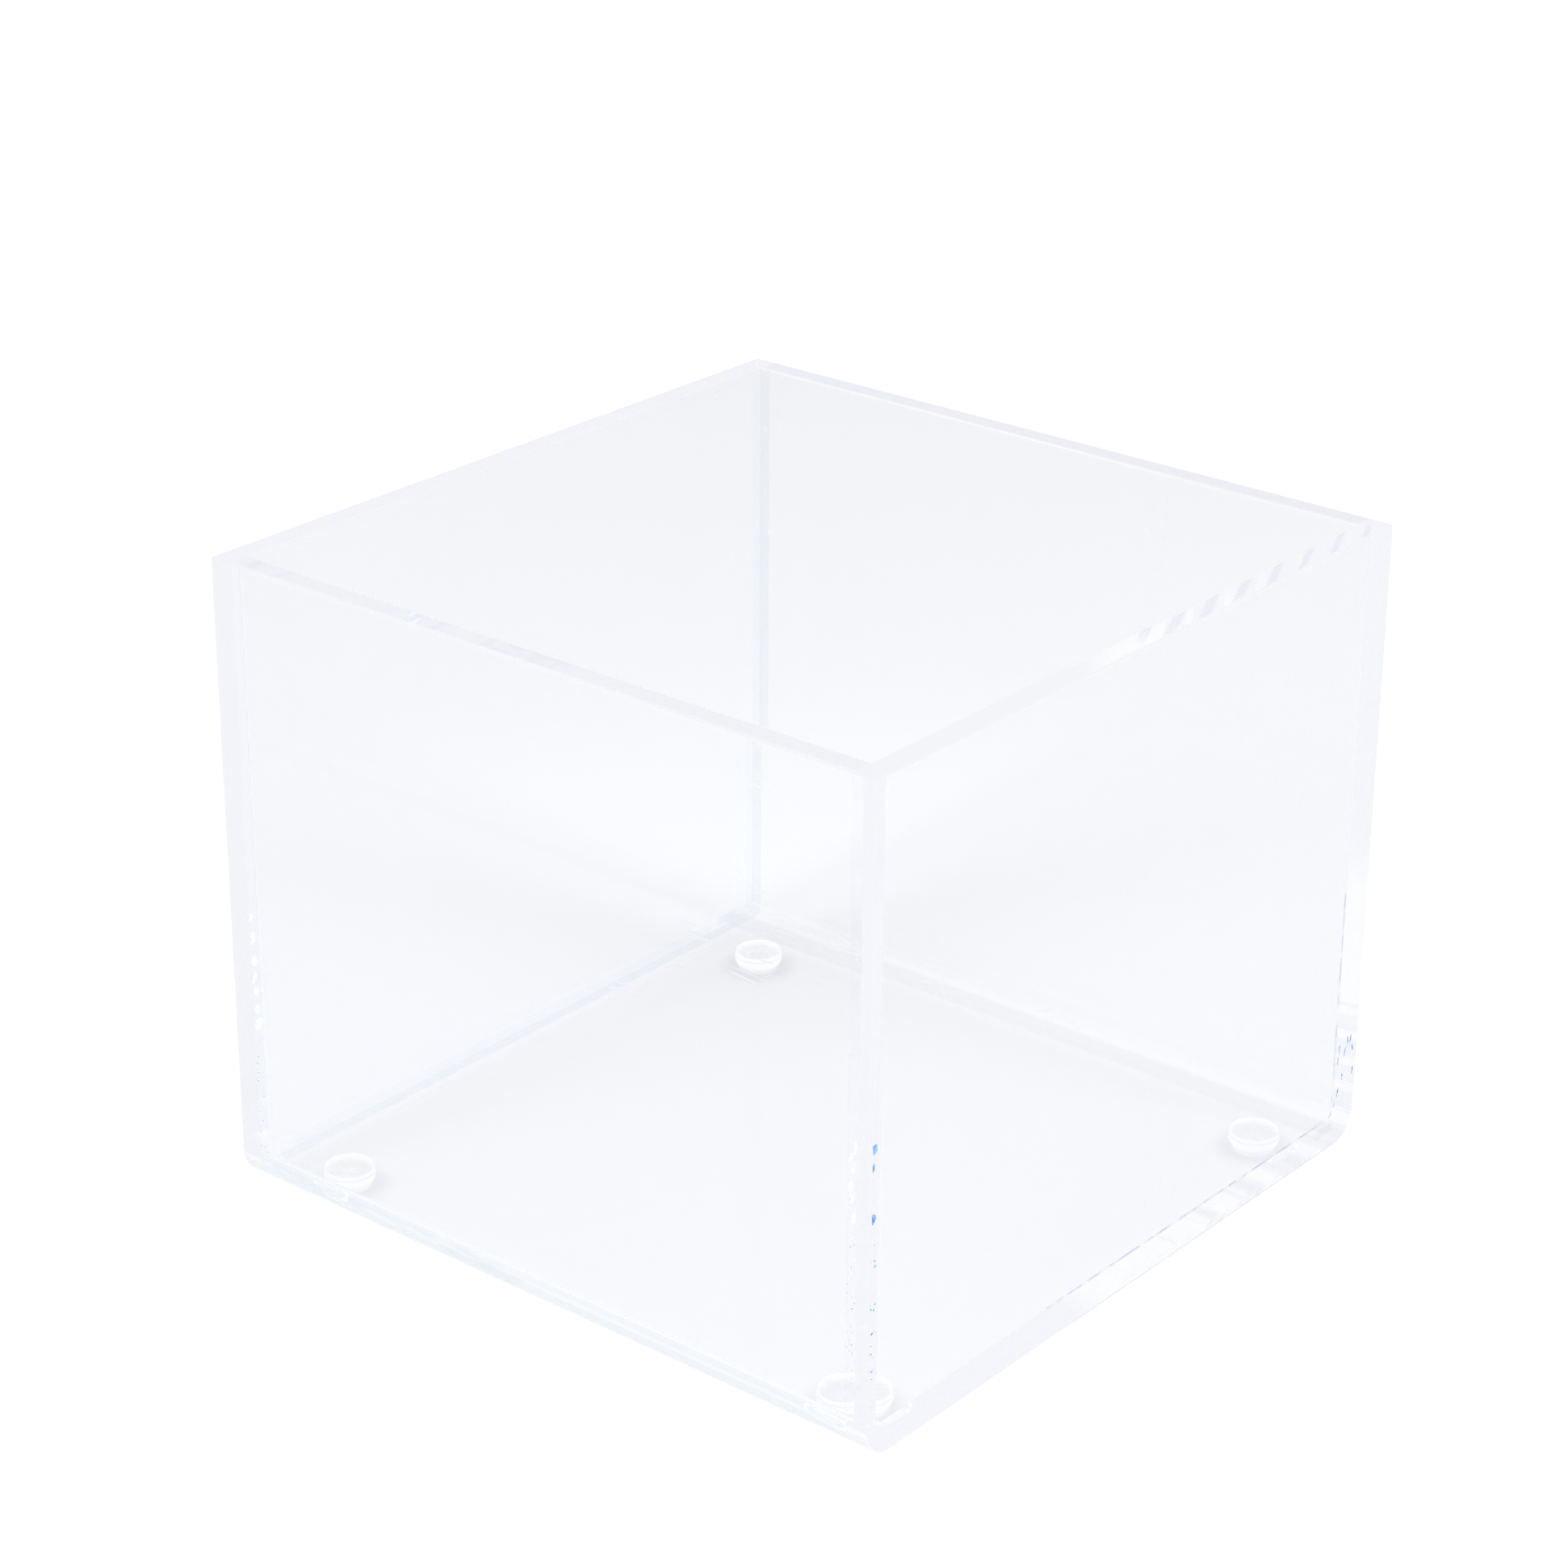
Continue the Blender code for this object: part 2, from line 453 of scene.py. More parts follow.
class Effects:
    """The node groups, each built once."""

    def __init__(self) -> None:
        """Builds all the groups."""
        self.waviness = cast_waviness()
        self.hairlines = hairline_scratches()
        self.smudges = handling_smudges()
        # bumps along an edge's run, with patches of painted reflection
        self.bumps_and_mirrored_patches = bumps_and_mirrored_patches()
        self.edge_stains = edge_stains()
        self.specks = dust_specks()


class Painter(Graph):
    """The graph of one material, with its piece's own coordinates and the shared effects at hand."""

    def __init__(self, tree: bpy.types.NodeTree, effects: Effects) -> None:
        """Takes the material's tree.

        Args:
            tree: The material's node tree.
            effects: The shared node groups.
        """
        super().__init__(tree)
        self.effects = effects
        self.place = self.node("TexCoord").outputs["Object"]

    def effect(self, tree: bpy.types.NodeTree, **values: object) -> object:
        """The outputs of a shared effect that is placed with these values."""
        return self.feed(self.node("Group", node_tree=tree), Vector=self.place, **values).outputs

    def smudge(self, amount: float) -> Socket:
        """The mask of the smears that handling leaves."""
        return self.effect(self.effects.smudges, Amount=amount)["Mask"]

    def glass(self, base: object, roughness: object, height: object = None, bump: float = 1.0,
              ior: float = ACRYLIC_IOR, clearness: float = 1.0) -> Socket:
        """Places the shader of something clear.

        Args:
            base: Its colour, a socket or three numbers.
            roughness: Its roughness, a socket or a number.
            height: The socket of its bumps' height, where it has bumps.
            bump: What one unit of that height is in metres.
            ior: Its index of refraction.
            clearness: How much of the light passes it.

        Returns:
            The shader's socket.
        """
        made = self.node("BsdfPrincipled")
        self.feed(made, Base_Color=base, Metallic=0.0, Roughness=roughness, IOR=ior,
                  Transmission_Weight=clearness)
        if height is not None:
            bumps = self.feed(self.node("Bump"), Strength=1.0, Distance=bump, Height=height)
            self.put(made.inputs["Normal"], bumps.outputs[0])
        return made.outputs[0]

    def clear_solid(self, glass: Socket, shade: object, mirrored: float = 2.0,
                    lost_light: object = HELD_LIGHT, lost_after: int = LOST_AFTER) -> Socket:
        """Finishes the shader of a clear solid.

        Light from a lamp passes it unbent, less what its two faces mirror away, so that it throws a faint
        shadow. The soft light from all round passes whole, because as much is mirrored back from the other
        side. Light that has turned back too often inside it takes the colour that such light has on average.

        Args:
            glass: The shader that all other rays meet.
            shade: What soft light keeps at each face, a socket or three numbers.
            mirrored: How many faces' worth of mirrored light the cast shadow lacks.
            lost_light: The colour of light that has turned back too often.
            lost_after: How many turns are too many.

        Returns:
            The mixed shader's socket.
        """
        path = self.node("LightPath").outputs
        entering = self.math("SUBTRACT", 1.0, self.node("NewGeometry").outputs["Backfacing"])
        at_one_face = self.times(self.shader("Fresnel", IOR=ACRYLIC_IOR), entering)
        at_both_faces = self.math("DIVIDE", self.times(at_one_face, mirrored),
                                  self.math("ADD", at_one_face, 1.0))
        cast = self.shader("BsdfTransparent", Color=self.mix_colour(at_both_faces, shade, (0.0, 0.0, 0.0)))
        clear = self.shader("BsdfTransparent", Color=shade)
        lost = self.math("GREATER_THAN", path["Ray Depth"], lost_after)
        inside = self.mix_shader(lost, glass, self.shader("Emission", Color=lost_light))
        shaded = self.mix_shader(path["Is Shadow Ray"], inside, cast)
        return self.mix_shader(path["Is Diffuse Ray"], shaded, clear)


@dataclass(frozen=True)
class Finish:
    """What all finishes share: each one draws the nodes of one material."""

    name: str

    def build(self, effects: Effects) -> bpy.types.Material:
        """Builds the material.

        Args:
            effects: The shared node groups.

        Returns:
            The material.
        """
        material = bpy.data.materials.new(self.name)
        material.use_nodes = True
        material.cycles.emission_sampling = "NONE"
        graph = Painter(material.node_tree, effects)
        graph.feed(graph.node("OutputMaterial"), Surface=self.surface(graph))
        return material

    def surface(self, graph: Painter) -> Socket:
        """Draws the finish.

        Args:
            graph: The material's graph.

        Returns:
            The surface shader's socket.
        """
        raise NotImplementedError


@dataclass(frozen=True)
class PolishedSheet(Finish):
    """The polished faces of clear cast acrylic, with faint waves, smears and hairlines, and a painted shaded
    strip beside the back bend.
    """

    name: str = "polished_acrylic"
    tint: Rgb = (0.977, 0.98, 0.99)
    smeared_tint: Rgb = (0.97, 0.974, 0.986)
    speck_tint: Rgb = (0.35, 0.35, 0.4)
    speck_spacing: float = 0.03
    speck_size: float = 0.0002
    shade: Rgb = (0.992, 0.993, 0.996)
    smeared: float = 0.8
    smear_roughness: float = 0.03
    wave_scale: float = 22.0
    wave_height: float = 0.000006
    scratch_depth: float = 0.000004
    back_light: Rgb = (0.99, 0.998, 1.0)
    back_from: float = 0.044
    back_fade: float = 0.012
    back_top: float = 0.03
    back_top_fade: float = 0.015
    # painted shade: a darker strip on the floor's upper face beside the back bend
    shaded_strip_tint: Rgb = (0.86, 0.86, 0.885)
    shaded_strip_middle: float = 0.0658
    shaded_strip_half_width: float = 0.0021
    shaded_strip_fade: float = 0.0016
    shaded_strip_level: float = 0.00866
    shaded_strip_rise: float = 0.0006

    def surface(self, graph: Painter) -> Socket:
        """Draws the clear sheet with its wear and its painted shaded strip.

        Args:
            graph: The material's graph.

        Returns:
            The surface shader's socket.
        """
        smudge = graph.smudge(self.smeared)
        scratch = graph.effect(graph.effects.hairlines, Amount=1.0)["Mask"]
        wave = graph.effect(graph.effects.waviness, Scale=self.wave_scale)["Height"]
        speck = graph.effect(graph.effects.specks, Spacing=self.speck_spacing, Size=self.speck_size)["Mask"]
        clean = graph.mix_colour(smudge, self.tint, self.smeared_tint)
        # painted shade on the strip beside the back bend
        clean = graph.mix_colour(self.shaded_strip_mask(graph), clean, self.shaded_strip_tint)
        scratched = graph.times(scratch, -self.scratch_depth)
        glass = graph.glass(graph.mix_colour(speck, clean, self.speck_tint),
                            graph.times(smudge, self.smear_roughness),
                            graph.math("MULTIPLY_ADD", wave, self.wave_height, scratched))
        return graph.clear_solid(glass, self.shade, lost_light=self.lost_light(graph))

    def shaded_strip_mask(self, graph: Painter) -> Socket:
        """The strip of the floor's upper face, next to the back bend, where a darker tint is painted as
        shade.

        Args:
            graph: The material's graph.

        Returns:
            The socket of a mask, 1 in the strip.
        """
        off_middle = graph.math("SUBTRACT", graph.along(graph.place, BACKWARDS), self.shaded_strip_middle)
        off_level = graph.math("SUBTRACT", graph.along(graph.place, UPWARDS), self.shaded_strip_level)
        near = graph.fade(graph.math("ABSOLUTE", off_middle), self.shaded_strip_half_width,
                          self.shaded_strip_half_width + self.shaded_strip_fade)
        return graph.times(near, graph.fade(graph.math("ABSOLUTE", off_level), self.shaded_strip_rise,
                                            self.shaded_strip_rise * 2))

    def lost_light(self, graph: Painter) -> Socket:
        """The light held in the sheet, which is brighter where the floor turns up into the back wall.

        Args:
            graph: The material's graph.

        Returns:
            The colour's socket.
        """
        behind = graph.band(graph.along(graph.place, BACKWARDS), self.back_from,
                            self.back_from + self.back_fade)
        low = graph.fade(graph.along(graph.place, UPWARDS), self.back_top, self.back_top + self.back_top_fade)
        return graph.mix_colour(graph.times(behind, low), HELD_LIGHT, self.back_light)


@dataclass(frozen=True)
class CutEdge(Finish):
    """Sawn edges of acrylic sheet, scraped smooth, a little stained, with patches of painted shade along the
    front rim and, in one run, bumpy patches of painted reflection on an edge that is lighter there.
    """

    along: Rgb
    tint: Rgb = (0.91, 0.913, 0.945)
    # the rims behind the middle are given a darker tint
    back_tint: Rgb = (0.815, 0.833, 0.878)
    back_from: float = 0.0
    # the colour of the stains, which also paints the shade along the front rim
    stain: Rgb = (0.82, 0.79, 0.92)
    stain_share: float = 0.42
    stain_strength: float = 0.5
    shade: Rgb = (0.8, 0.81, 0.83)
    # painted reflection: the colour of the patches in the run; the edge is lighter all along that run
    mirrored_patch_tint: Rgb = (0.74, 0.7, 0.87)
    run_tint: Rgb = (0.995, 0.996, 1.0)
    # painted shade: darker patches along the front rim
    shade_blots: tuple[tuple[float, float], ...] = ()
    shade_blot_fade: float = 0.0012
    shade_blot_patches: Mottle = Mottle(500.0, 0.3, 0.6, detail=3.0)
    # where the run lies, and the spacing, place and lean of its patches of painted reflection
    run_from: float = 1.0
    run_to: float = 2.0
    patch_pitch: float = 0.01038
    patch_phase: float = 0.0034
    patch_lean: float = 2.2
    tooth_pitch: float = 0.0007
    tooth_slant: float = 0.1
    mark_depth: float = 0.000012
    scrape_depth: float = 0.0000012
    smooth_roughness: float = 0.02
    sawn_roughness: float = 0.1
    lost_after: int = 7

    def surface(self, graph: Painter) -> Socket:
        """Draws the edge.

        Args:
            graph: The material's graph.

        Returns:
            The surface shader's socket.
        """
        # the run's bumps and its patches of painted reflection
        marks = graph.effect(
            graph.effects.bumps_and_mirrored_patches, Along=self.along, From=self.run_from, To=self.run_to,
            Chatter_Pitch=self.patch_pitch, Phase=self.patch_phase, Lean=self.patch_lean,
            Tooth_Pitch=self.tooth_pitch, Slant=self.tooth_slant)
        stain = graph.effect(graph.effects.edge_stains, Along=self.along, Share=self.stain_share)
        # real stains and the front rim's painted shade, in one mask
        stains_and_painted_shade = graph.math("MAXIMUM", graph.times(stain["Mask"], self.stain_strength),
                             self.shade_blot_mask(graph))
        behind = graph.math("GREATER_THAN", graph.along(graph.place, BACKWARDS), self.back_from)
        # darker tint on the rims behind the middle
        darker_behind = graph.mix_colour(behind, self.tint, self.back_tint)
        clean = graph.mix_colour(marks["Run"], darker_behind, self.run_tint)
        stained = graph.mix_colour(stains_and_painted_shade, clean, self.stain)
        sawn = graph.times(marks["Height"], self.mark_depth)
        glass = graph.glass(graph.mix_colour(marks["Mask"], stained, self.mirrored_patch_tint),
                            graph.band(marks["Mask"], 0.0, 1.0, self.smooth_roughness, self.sawn_roughness),
                            graph.math("MULTIPLY_ADD", stain["Scrape"], self.scrape_depth, sawn))
        return graph.clear_solid(glass, self.shade, lost_after=self.lost_after)

    def shade_blot_mask(self, graph: Painter) -> Socket:
        """The single patches of painted shade along the front rim.

        Args:
            graph: The material's graph.

        Returns:
            The socket of a mask, 1 in a blot.
        """
        along = graph.along(graph.place, self.along)
        mask = 0.0
        for start, end in self.shade_blots:
            run = graph.times(graph.band(along, start, start + self.shade_blot_fade),
                              graph.fade(along, end - self.shade_blot_fade, end))
            mask = graph.math("MAXIMUM", mask, run)
        uneven = graph.mottle(graph.place, self.shade_blot_patches)
        in_front = graph.math("LESS_THAN", graph.along(graph.place, BACKWARDS), 0.0)
        return graph.times(mask, uneven, in_front)


@dataclass(frozen=True)
class EasedCorner(Finish):
    """A corner of the sheet that a scraper has taken off, with a long line of painted shade under the right
    panel's lower edge.
    """

    name: str = "eased_acrylic"
    tint: Rgb = (0.985, 0.987, 0.993)
    worn_tint: Rgb = (0.96, 0.963, 0.98)
    shade: Rgb = (0.95, 0.953, 0.965)
    fine_roughness: float = 0.02
    worn_roughness: float = 0.06
    # painted shade: the dark line under the right panel's lower edge
    painted_shade_tint: Rgb = (0.3, 0.42, 0.6)
    dark_right_of: float = 0.074
    dark_behind: float = -0.022
    dark_below: float = 0.0065
    dark_fade: float = 0.008

    def surface(self, graph: Painter) -> Socket:
        """Draws the corner.

        Args:
            graph: The material's graph.

        Returns:
            The surface shader's socket.
        """
        worn = graph.smudge(1.0)
        beyond = graph.math("GREATER_THAN", graph.along(graph.place, RIGHTWARDS), self.dark_right_of)
        behind = graph.band(graph.along(graph.place, BACKWARDS), self.dark_behind,
                            self.dark_behind + self.dark_fade)
        under = graph.math("LESS_THAN", graph.along(graph.place, UPWARDS), self.dark_below)
        base = graph.mix_colour(worn, self.tint, self.worn_tint)
        # painted shade under the right panel's lower edge
        base = graph.mix_colour(graph.times(beyond, behind, under), base, self.painted_shade_tint)
        roughness = graph.band(worn, 0.0, 1.0, self.fine_roughness, self.worn_roughness)
        return graph.clear_solid(graph.glass(base, roughness), self.shade)


@dataclass(frozen=True)
class BondedFace(Finish):
    """A face that cement has made one with its neighbour, so that light passes it unbent."""

    name: str = "bonded_acrylic"
    clear: Rgb = (0.998, 0.999, 1.0)
    clouded: Rgb = (0.97, 0.975, 0.985)
    cloudiness: float = 0.6

    def surface(self, graph: Painter) -> Socket:
        """The clear joint, a little cloudy in places."""
        cloud = graph.smudge(self.cloudiness)
        return graph.shader("BsdfTransparent", Color=graph.mix_colour(cloud, self.clear, self.clouded))


@dataclass(frozen=True)
class CementFilm(Finish):
    """Set cement in a seam: pale blue, mottled, with dry patches that mirror the light."""

    tint: Rgb = (0.998, 0.999, 1.0)
    deep_tint: Rgb = (0.992, 0.995, 0.999)
    gloss_roughness: float = 0.02
    clouds: Mottle = Mottle(420.0, 0.4, 0.65, detail=3.0, roughness=0.6)
    dry_patches: Mottle = Mottle(650.0, 0.7, 0.73, detail=4.0, roughness=0.55)

    def surface(self, graph: Painter) -> Socket:
        """Draws the film.

        Args:
            graph: The material's graph.

        Returns:
            The surface shader's socket.
        """
        place = graph.vector_math("MULTIPLY", graph.place, (0.0, 1.0, 1.0))
        cloud = graph.mottle(place, self.clouds)
        clear = graph.shader("BsdfTransparent", Color=graph.mix_colour(cloud, self.tint, self.deep_tint))
        air = graph.glass(self.tint, self.gloss_roughness, ior=1.0 / ACRYLIC_IOR)
        return graph.mix_shader(graph.mottle(place, self.dry_patches), clear, air)


@dataclass(frozen=True)
class CreptCement(Finish):
    """Cement that has crept out of a seam along the inside corner, thin and pale blue."""

    name: str = "crept_cement"
    tint: Rgb = (0.986, 0.996, 0.999)
    ripple_tint: Rgb = (0.982, 0.994, 0.998)
    ripples: Mottle = Mottle(160.0, 0.4, 0.6, detail=3.0)
    gloss: float = 0.01
    gloss_roughness: float = 0.15

    def surface(self, graph: Painter) -> Socket:
        """Draws the strip of cement.

        Args:
            graph: The material's graph.

        Returns:
            The surface shader's socket.
        """
        ripple = graph.mottle(graph.place, self.ripples)
        clear = graph.shader("BsdfTransparent", Color=graph.mix_colour(ripple, self.tint, self.ripple_tint))
        sheen = graph.shader("BsdfPrincipled", Base_Color=self.tint, Roughness=self.gloss_roughness)
        return graph.mix_shader(self.gloss, clear, sheen)


@dataclass(frozen=True)
class TrappedAirSkin(Finish):
    """The wall of an air bubble inside clear cement, tinted blue and navy as a painted reflection of what
    such a bubble mirrors.
    """

    name: str = "trapped_air"
    # painted reflection: the blue that the bubbles mirror
    tint: Rgb = (0.3, 0.55, 0.85)
    deep_tint: Rgb = (0.06, 0.2, 0.55)
    clouds: Mottle = Mottle(900.0, 0.42, 0.58)
    roughness: float = 0.01
    clearness: float = 0.6

    def surface(self, graph: Painter) -> Socket:
        """Draws the bubble's wall.

        Args:
            graph: The material's graph.

        Returns:
            The surface shader's socket.
        """
        cloud = graph.mottle(graph.place, self.clouds)
        return graph.glass(graph.mix_colour(cloud, self.tint, self.deep_tint), self.roughness,
                           ior=1.0 / ACRYLIC_IOR, clearness=self.clearness)


@dataclass(frozen=True)
class ClearRubber(Finish):
    """Clear soft urethane, glossy, with a faint cast skin and light held in its sides."""

    name: str = "clear_urethane_foot"
    tint: Rgb = (0.985, 0.987, 0.99)
    dusty_tint: Rgb = (0.965, 0.967, 0.972)
    dust: float = 0.7
    clean_roughness: float = 0.1
    dusty_roughness: float = 0.16
    skin_scale: float = 900.0
    skin_depth: float = 0.000004
    side_below: float = 0.3
    flat_above: float = 0.9
    side_light: Rgb = (1.05, 1.05, 1.05)
    flat_light: Rgb = (0.925, 0.93, 0.95)
    side_shade: Rgb = (0.95, 0.953, 0.962)
    flat_shade: Rgb = (0.95, 0.952, 0.96)
    mirrored: float = 0.3
    lost_after: int = 1

    def surface(self, graph: Painter) -> Socket:
        """Draws the rubber.

        Args:
            graph: The material's graph.

        Returns:
            The surface shader's socket.
        """
        dust = graph.smudge(self.dust)
        glass = graph.glass(graph.mix_colour(dust, self.tint, self.dusty_tint),
                            graph.band(dust, 0.0, 1.0, self.clean_roughness, self.dusty_roughness),
                            graph.noise(graph.place, self.skin_scale), self.skin_depth, RUBBER_IOR)
        facing = graph.along(graph.node("NewGeometry").outputs["Normal"], UPWARDS)
        level = graph.band(graph.math("ABSOLUTE", facing), self.side_below, self.flat_above)
        return graph.clear_solid(
            glass, graph.mix_colour(level, self.side_shade, self.flat_shade), self.mirrored,
            graph.mix_colour(level, self.side_light, self.flat_light), self.lost_after)


@dataclass(frozen=True)
class AdhesiveFilm(Finish):
    """The clear, slightly hazy film that holds a foot to the floor."""

    name: str = "clear_adhesive"
    tint: Rgb = (0.995, 0.996, 0.998)
    clouds: Mottle = Mottle(700.0, 0.35, 0.7, detail=3.0)
    haze: float = 0.03
    haze_roughness: float = 0.3

    def surface(self, graph: Painter) -> Socket:
        """Draws the film.

        Args:
            graph: The material's graph.

        Returns:
            The surface shader's socket.
        """
        cloud = graph.mottle(graph.place, self.clouds)
        clear = graph.shader("BsdfTransparent", Color=self.tint)
        skin = graph.shader("BsdfPrincipled", Base_Color=self.tint, Roughness=self.haze_roughness)
        return graph.mix_shader(graph.times(cloud, self.haze), clear, skin)


@dataclass(frozen=True)
class Ground(Finish):
    """The plain white ground, which keeps a soft shadow for every ray."""

    name: str = "white_ground"
    paint: Rgb = (0.9, 0.902, 0.912)
    grain_paint: Rgb = (0.892, 0.895, 0.906)
    grain_scale: float = 40.0
    camera_glow: float = 1.15
    camera_share: float = 0.8
    through_share: float = 0.4
    # painted light: seen through the box, the ground glows brighter under the box than beyond it
    near_glow: Rgb = (1.11, 1.11, 1.11)
    near_reach: float = 0.074
    far_glow: Rgb = (0.98, 0.985, 1.005)
    far_reach: float = 0.09
    # painted shadow: the darker ring round each foot, seen through the box
    foot_shadow_glow: Rgb = (0.78, 0.775, 0.8)
    halo_place: float = 0.0607
    halo_inner: float = 0.0045
    halo_outer: float = 0.0095
    halo_edge: float = 0.0008
    thrown_glow: Rgb = (1.12, 1.12, 1.11)
    thrown_from: float = 0.078
    thrown_edge: float = 0.02
    thrown_reach: float = 0.17

    def surface(self, graph: Painter) -> Socket:
        """Draws the ground as the camera sees it, as it is seen through the box, and as it is lit.

        Args:
            graph: The material's graph.

        Returns:
            The surface shader's socket.
        """
        grain = graph.noise(graph.place, self.grain_scale, detail=3.0)
        lit = graph.shader("BsdfDiffuse", Color=graph.mix_colour(grain, self.paint, self.grain_paint))
        sideways = graph.math("ABSOLUTE", graph.along(graph.place, RIGHTWARDS))
        lengthways = graph.math("ABSOLUTE", graph.along(graph.place, BACKWARDS))
        # painted light: brighter under the box, dimmer beyond
        far = graph.band(graph.math("MAXIMUM", sideways, lengthways), self.near_reach, self.far_reach)
        plain = graph.mix_colour(far, self.near_glow, self.far_glow)
        # painted shadow round each foot
        plain = graph.mix_colour(self.foot_shadow_mask(graph, sideways, lengthways), plain, self.foot_shadow_glow)
        through = graph.shader("Emission", Color=graph.mix_colour(self.thrown_light(graph), plain,
                                                                  self.thrown_glow))
        direct = graph.shader("Emission", Strength=self.camera_glow)
        path = graph.node("LightPath").outputs
        glow = graph.mix_shader(path["Is Camera Ray"], through, direct)
        sharp = graph.math("MAXIMUM", path["Is Glossy Ray"], path["Is Transmission Ray"])
        share = graph.math("MULTIPLY_ADD", path["Is Camera Ray"], self.camera_share,
                           graph.times(sharp, self.through_share))
        return graph.mix_shader(share, lit, glow)

    def foot_shadow_mask(self, graph: Painter, sideways: Socket, lengthways: Socket) -> Socket:
        """The painted soft shadow in a ring round each foot.

        Args:
            graph: The material's graph.
            sideways: How far a place lies from the box's middle, along X.
            lengthways: The same along Y.

        Returns:
            The socket of a mask, 1 beside a foot.
        """
        corner = graph.feed(graph.node("CombineXYZ"), X=sideways, Y=lengthways)
        away = graph.vector_math("DISTANCE", corner.outputs[0], (self.halo_place, self.halo_place, 0.0))
        return graph.times(graph.band(away, self.halo_inner - self.halo_edge, self.halo_inner),
                           graph.fade(away, self.halo_inner, self.halo_outer))

    def thrown_light(self, graph: Painter) -> Socket:
        """Where the left panel and the back wall both mirror lamplight on to the ground.

        Args:
            graph: The material's graph.

        Returns:
            The socket of a mask, 1 just past the back left corner.
        """
        outer = self.thrown_from + self.thrown_edge
        left = graph.band(graph.along(graph.place, (-1.0, 0.0, 0.0)), self.thrown_from, outer)
        behind = graph.band(graph.along(graph.place, BACKWARDS), self.thrown_from, outer)
        gone = graph.vector_math("DISTANCE", graph.place, (-self.thrown_from, self.thrown_from, 0.0))
        return graph.times(left, behind, graph.fade(gone, 0.0, self.thrown_reach))


def piece_from(bm: Mesh, name: str, materials: list[bpy.types.Material]) -> bpy.types.Object:
    """Turns a bmesh into a shaded object at the origin.

    Args:
        bm: The mesh, which is freed.
        name: The object's name.
        materials: Its material slots in order.

    Returns:
        The object.
    """
    bmesh.ops.dissolve_degenerate(bm, edges=bm.edges[:], dist=TOUCHING)
    for face in bm.faces:
        face.smooth = True
    for edge in bm.edges:
        edge.smooth = len(edge.link_faces) == 2 and edge.calc_face_angle(0.0) < SHARP_ANGLE
    mesh = bpy.data.meshes.new(name)
    bm.to_mesh(mesh)
    bm.free()
    for material in materials:
        mesh.materials.append(material)
    made = bpy.data.objects.new(name, mesh)
    bpy.context.scene.collection.objects.link(made)
    made.modifiers.new("even_normals", "WEIGHTED_NORMAL").keep_sharp = True
    return made


def settle(piece: bpy.types.Object, slot: str, *nodes: str) -> None:
    """Hangs a piece on the body, hides the CAD nodes that it replaces and logs its slot.

    Args:
        piece: The piece.
        slot: The record's material slot.
        nodes: The CAD nodes that it replaces.
    """
    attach(piece, BODY)
    if nodes:
        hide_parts(*nodes)
    log.info("%s: %d faces, slot %s", piece.name, len(piece.data.polygons), slot)


def runs_along_x(edge: Edge) -> bool:
    """Whether an edge runs along X."""
    run = edge.verts[1].co - edge.verts[0].co
    return abs(run.y) < NEARLY and abs(run.z) < NEARLY and abs(run.x) > NEARLY


def lies_at(edge: Edge, axis: str, level: float) -> bool:
    """Whether both ends of an edge lie at a level on an axis."""
    return all(abs(getattr(vert.co, axis) - level) < NEARLY for vert in edge.verts)


def sweep(bm: Mesh, edges: list[Edge], run: float) -> None:
    """Draws edges out along X into faces.

    Args:
        bm: The mesh.
        edges: The edges.
        run: How far they go.
    """
    swept = bmesh.ops.extrude_edge_only(bm, edges=edges)["geom"]
    moved = [item for item in swept if isinstance(item, bmesh.types.BMVert)]
    bmesh.ops.translate(bm, verts=moved, vec=(run, 0, 0))


def shift(bm: Mesh, run: float) -> None:
    """Moves a whole mesh along X."""
    bmesh.ops.translate(bm, verts=bm.verts[:], vec=(run, 0, 0))


def bevel(bm: Mesh, edges: list[Edge], size: float, segments: int) -> None:
    """Rounds edges off."""
    bmesh.ops.bevel(bm, geom=edges, offset=size, offset_type="OFFSET", segments=segments, profile=0.5,
                    affect="EDGES", material=-1)
    bm.normal_update()


def thicken(bm: Mesh, thickness: float) -> None:
    """Gives an open surface its thickness."""
    bmesh.ops.solidify(bm, geom=bm.faces[:], thickness=thickness)
    bm.normal_update()


def put_on_side(bm: Mesh, side: Side) -> None:
    """Mirrors a mesh that was made for the right, where it goes on the left.

    Args:
        bm: The mesh.
        side: The side that it goes on.
    """
    if side is Side.LEFT:
        bmesh.ops.scale(bm, vec=(-1, 1, 1), verts=bm.verts[:])
        bmesh.ops.reverse_faces(bm, faces=bm.faces[:])


